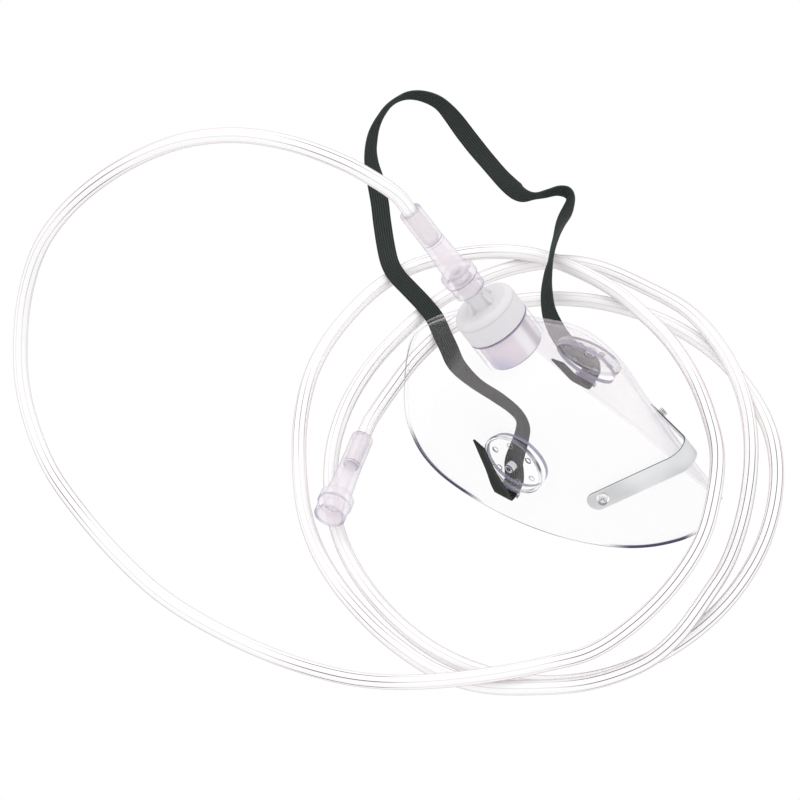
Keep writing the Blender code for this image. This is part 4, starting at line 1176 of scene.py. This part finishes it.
class BuildAdapter(bpy.types.Operator):
    """Model the frosted plug, cap and nozzle"""
    bl_idname = "oxygen_mask.build_adapter"
    bl_label = "Inlet adapter"

    def execute(self, context):
        scene = context.scene
        settings = scene.adapter_settings
        plug = NECK_RADIUS - scene.mask_shell_settings.wall - CLEARANCE
        hollow = plug - settings.plug_wall
        top = CAP_SIDE + CAP_ROUND
        tip = top + settings.nozzle_length
        ceiling = top - CAP_TOP
        profile = [(settings.nozzle_bore, tip), (settings.nozzle_tip, tip), (settings.nozzle_root, top)]
        for step in range(CAP_STEPS + 1):
            turn = math.pi / 2 * step / CAP_STEPS
            profile.append((NECK_RADIUS - CAP_ROUND + CAP_ROUND * math.sin(turn),
                            CAP_SIDE + CAP_ROUND * math.cos(turn)))
        profile += [
            (NECK_RADIUS, CLEARANCE), (plug, CLEARANCE), (plug, -settings.plug_depth),
            (hollow, -settings.plug_depth), (hollow, ceiling - CAP_ROUND), (hollow - CAP_ROUND, ceiling),
            (settings.nozzle_bore, ceiling),
        ]
        body = turned(profile, "inlet_adapter", 0.35 * MM, 128)
        body.transform(standing(PORT_AXIS, PORT_TOP))
        material = frosted_vinyl("frosted vinyl", settings.colour, settings.plug_depth)
        add_piece("inlet_body", body, "inlet_adapter", material)
        for index in range(2):
            gusset = self.gusset(settings, top)
            gusset.transform(standing(PORT_AXIS, PORT_TOP) @ Matrix.Rotation(math.pi / 2 * index, 4, "Z"))
            add_piece(f"gusset_{index + 1}", gusset, "inlet_adapter", material)
        return {"FINISHED"}

    def gusset(self, settings, top):
        """A thin plate through the nozzle's foot that narrows upwards."""
        spread = 2 * (settings.nozzle_root + settings.gusset_reach)
        height = settings.gusset_height + CAP_TOP / 2
        shape = bmesh.new()
        size = Matrix.Diagonal((spread, settings.gusset_thickness, height, 1.0))
        place = Matrix.Translation((0.0, 0.0, top - CAP_TOP / 2 + height / 2))
        bmesh.ops.create_cube(shape, size=1.0, matrix=place @ size)
        for corner in shape.verts:
            if corner.co.z > top:
                corner.co.x *= (spread - 2 * settings.gusset_reach) / spread
        rounded(shape, shape.edges[:], 0.2 * MM)
        return finished(shape, "gusset", 30.0)


class BuildConnectors(bpy.types.Operator):
    """Model the soft connector on each end of the tube"""
    bl_idname = "oxygen_mask.build_connectors"
    bl_label = "Connectors"

    def execute(self, context):
        scene = context.scene
        settings = scene.connector_settings
        vinyl = clear_vinyl("clear connector vinyl", settings.haze, settings.edge, haze=0.34, line=0.70,
                            turns=(0.45, 0.95), marks=(connector_rings(settings),))
        names = (("mask_end_connector", "mask_end_cuff"), ("supply_end_connector", "supply_end_cuff"))
        for (name, node), (mouth, way) in zip(names, connector_ends()):
            mesh = self.connector(settings, scene.adapter_settings, scene.tube_settings)
            keep_place(mesh)
            mesh.transform(standing(way, mouth))
            add_piece(name, mesh, node, vinyl)
        return {"FINISHED"}

    def connector(self, settings, adapter, tube):
        """A connector along +Z from its mouth to its tube end."""
        root = CAP_SIDE + CAP_ROUND
        nozzle_end = root + adapter.nozzle_length - CUFF_ABOVE_NECK
        share = (CUFF_ABOVE_NECK + settings.funnel - root) / adapter.nozzle_length
        grip = mix(adapter.nozzle_root, adapter.nozzle_tip, share) + CLEARANCE
        grip_end = adapter.nozzle_tip + CLEARANCE
        pocket = tube.radius + CLEARANCE
        floor = settings.length - settings.pocket
        flange_top = settings.skirt_length + settings.flange_length
        return turned((
            (pocket, settings.length), (settings.sleeve, settings.length), (settings.sleeve, floor),
            (settings.body, flange_top), (settings.flange, flange_top),
            (settings.flange, settings.skirt_length), (settings.skirt, settings.skirt_length),
            (settings.skirt, 0.0), (settings.mouth, 0.0), (grip, settings.funnel),
            (grip_end, nozzle_end + CLEARANCE), (settings.bore, nozzle_end + CLEARANCE),
            (settings.bore, floor), (pocket, floor),
        ), "connector", 0.5 * MM, 96)


class BuildTube(bpy.types.Operator):
    """Model the clear tube and its bore along their route"""
    bl_idname = "oxygen_mask.build_tube"
    bl_label = "Oxygen tube"

    def execute(self, context):
        scene = context.scene
        settings = scene.tube_settings
        points, length = tube_points(scene.connector_settings, settings.points)
        wall = clear_vinyl("clear tube vinyl", settings.haze, settings.edge, haze=0.96, line=0.97,
                           turns=(0.42, 0.75), marks=(bore_ridges,))
        bore = clear_vinyl("tube bore vinyl", settings.bore_haze, settings.bore_edge, haze=0.92, line=0.96,
                           turns=(0.40, 0.80))
        outside, inside = (
            add_piece(name, tube_line(name, points, radius, sides), "oxygen_tube", material)
            for name, radius, sides, material in (
                ("tube_wall", settings.radius, 16, wall), ("tube_bore", settings.bore, 12, bore),
            )
        )
        points[0] - CENTRE
        return {"FINISHED"}


class BuildHeadStrap(bpy.types.Operator):
    """Model the ribbed elastic band through both slots"""
    bl_idname = "oxygen_mask.build_head_strap"
    bl_label = "Head strap"

    def execute(self, context):
        scene = context.scene
        settings = scene.head_strap_settings
        shell = scene.mask_shell_settings
        band = strap_mesh(settings, slot_middle(shell_tree(shell), shell.wall))
        material = ribbed_elastic("black elastic", settings.colour, settings.ribs)
        item = add_piece("elastic_band", band, "head_strap", material)
        solid = item.modifiers.new("thickness", "SOLIDIFY")
        solid.thickness = settings.thickness - settings.rib_height
        solid.offset = 0.0
        return {"FINISHED"}


class BuildStage(bpy.types.Operator):
    """Set up the floor, the light and the camera"""
    bl_idname = "oxygen_mask.build_stage"
    bl_label = "Stage"

    def execute(self, context):
        settings = context.scene.stage_settings
        self.floor(settings)
        self.light(settings)
        self.camera(settings)
        context.scene.view_settings.view_transform = "Standard"
        return {"FINISHED"}

    def floor(self, settings):
        """A plain white table top, evenly lit."""
        shape = bmesh.new()
        bmesh.ops.create_grid(shape, x_segments=1, y_segments=1, size=settings.floor / 2)
        item = placed("floor", finished(shape, "floor"))
        finish = Finish("white table top")
        item.data.materials.append(finish.set(Base_Color=(0.0, 0.0, 0.0), Specular_IOR_Level=0.0,
                                              Emission_Color=(1.0, 1.0, 1.0), Emission_Strength=1.0))

    def light(self, settings):
        """A pale room and one large soft light over the far left."""
        world = bpy.data.worlds.new("pale room")
        bpy.context.scene.world = world
        world.use_nodes = True
        room = world.node_tree.nodes["Background"].inputs
        room["Color"].default_value = (1.0, 1.0, 1.0, 1.0)
        room["Strength"].default_value = settings.room
        lamp = bpy.data.lights.new("soft light", "AREA")
        lamp.energy = settings.key
        lamp.shape = "DISK"
        lamp.size = LIGHT_SIZE
        item = placed("soft light", lamp)
        item.location = LIGHT_PLACE
        item.rotation_euler = (-LIGHT_PLACE).to_track_quat("-Z", "Y").to_euler()

    def camera(self, settings):
        """The photograph's view."""
        azimuth, elevation = settings.azimuth, settings.elevation
        back = Vector((math.sin(azimuth) * math.cos(elevation),
                       -math.cos(azimuth) * math.cos(elevation), math.sin(elevation)))
        lens = bpy.data.cameras.new("camera")
        lens.lens = settings.lens
        lens.sensor_width = SENSOR_WIDTH
        camera = placed("camera", lens)
        camera.location = VIEW_TARGET - CENTRE + back * settings.distance
        camera.rotation_mode = "QUATERNION"
        camera.rotation_quaternion = (-back).to_track_quat("-Z", "Y")
        bpy.context.scene.camera = camera


class OxygenMaskPanel(bpy.types.Panel):
    """Lists what can be built"""
    bl_idname = "VIEW3D_PT_oxygen_mask"
    bl_label = "Oxygen mask"
    bl_space_type = "VIEW_3D"
    bl_region_type = "UI"
    bl_category = "Oxygen mask"

    def draw(self, context):
        for operator in OPERATORS:
            self.layout.operator(operator.bl_idname)


SETTINGS = {
    "mask_shell_settings": MaskShellSettings,
    "vent_settings": VentSettings,
    "nose_clip_settings": NoseClipSettings,
    "adapter_settings": AdapterSettings,
    "connector_settings": ConnectorSettings,
    "tube_settings": TubeSettings,
    "head_strap_settings": HeadStrapSettings,
    "stage_settings": StageSettings,
}
OPERATORS = (BuildStage, BuildConnectors, BuildTube, BuildMaskShell, BuildNoseClip, BuildAdapter,
             BuildHeadStrap)


def register():
    for group in (*SETTINGS.values(), *OPERATORS, OxygenMaskPanel):
        bpy.utils.register_class(group)
    for name, group in SETTINGS.items():
        setattr(bpy.types.Scene, name, PointerProperty(type=group))


def unregister():
    for name in SETTINGS:
        delattr(bpy.types.Scene, name)
    for group in (OxygenMaskPanel, *reversed(OPERATORS), *SETTINGS.values()):
        bpy.utils.unregister_class(group)


def main():
    register()
    bpy.ops.oxygen_mask.build_stage()
    bpy.ops.oxygen_mask.build_connectors()
    bpy.ops.oxygen_mask.build_tube()
    bpy.ops.oxygen_mask.build_shell()
    bpy.ops.oxygen_mask.build_nose_clip()
    bpy.ops.oxygen_mask.build_adapter()
    bpy.ops.oxygen_mask.build_head_strap()


if __name__ == "__main__":
    main()
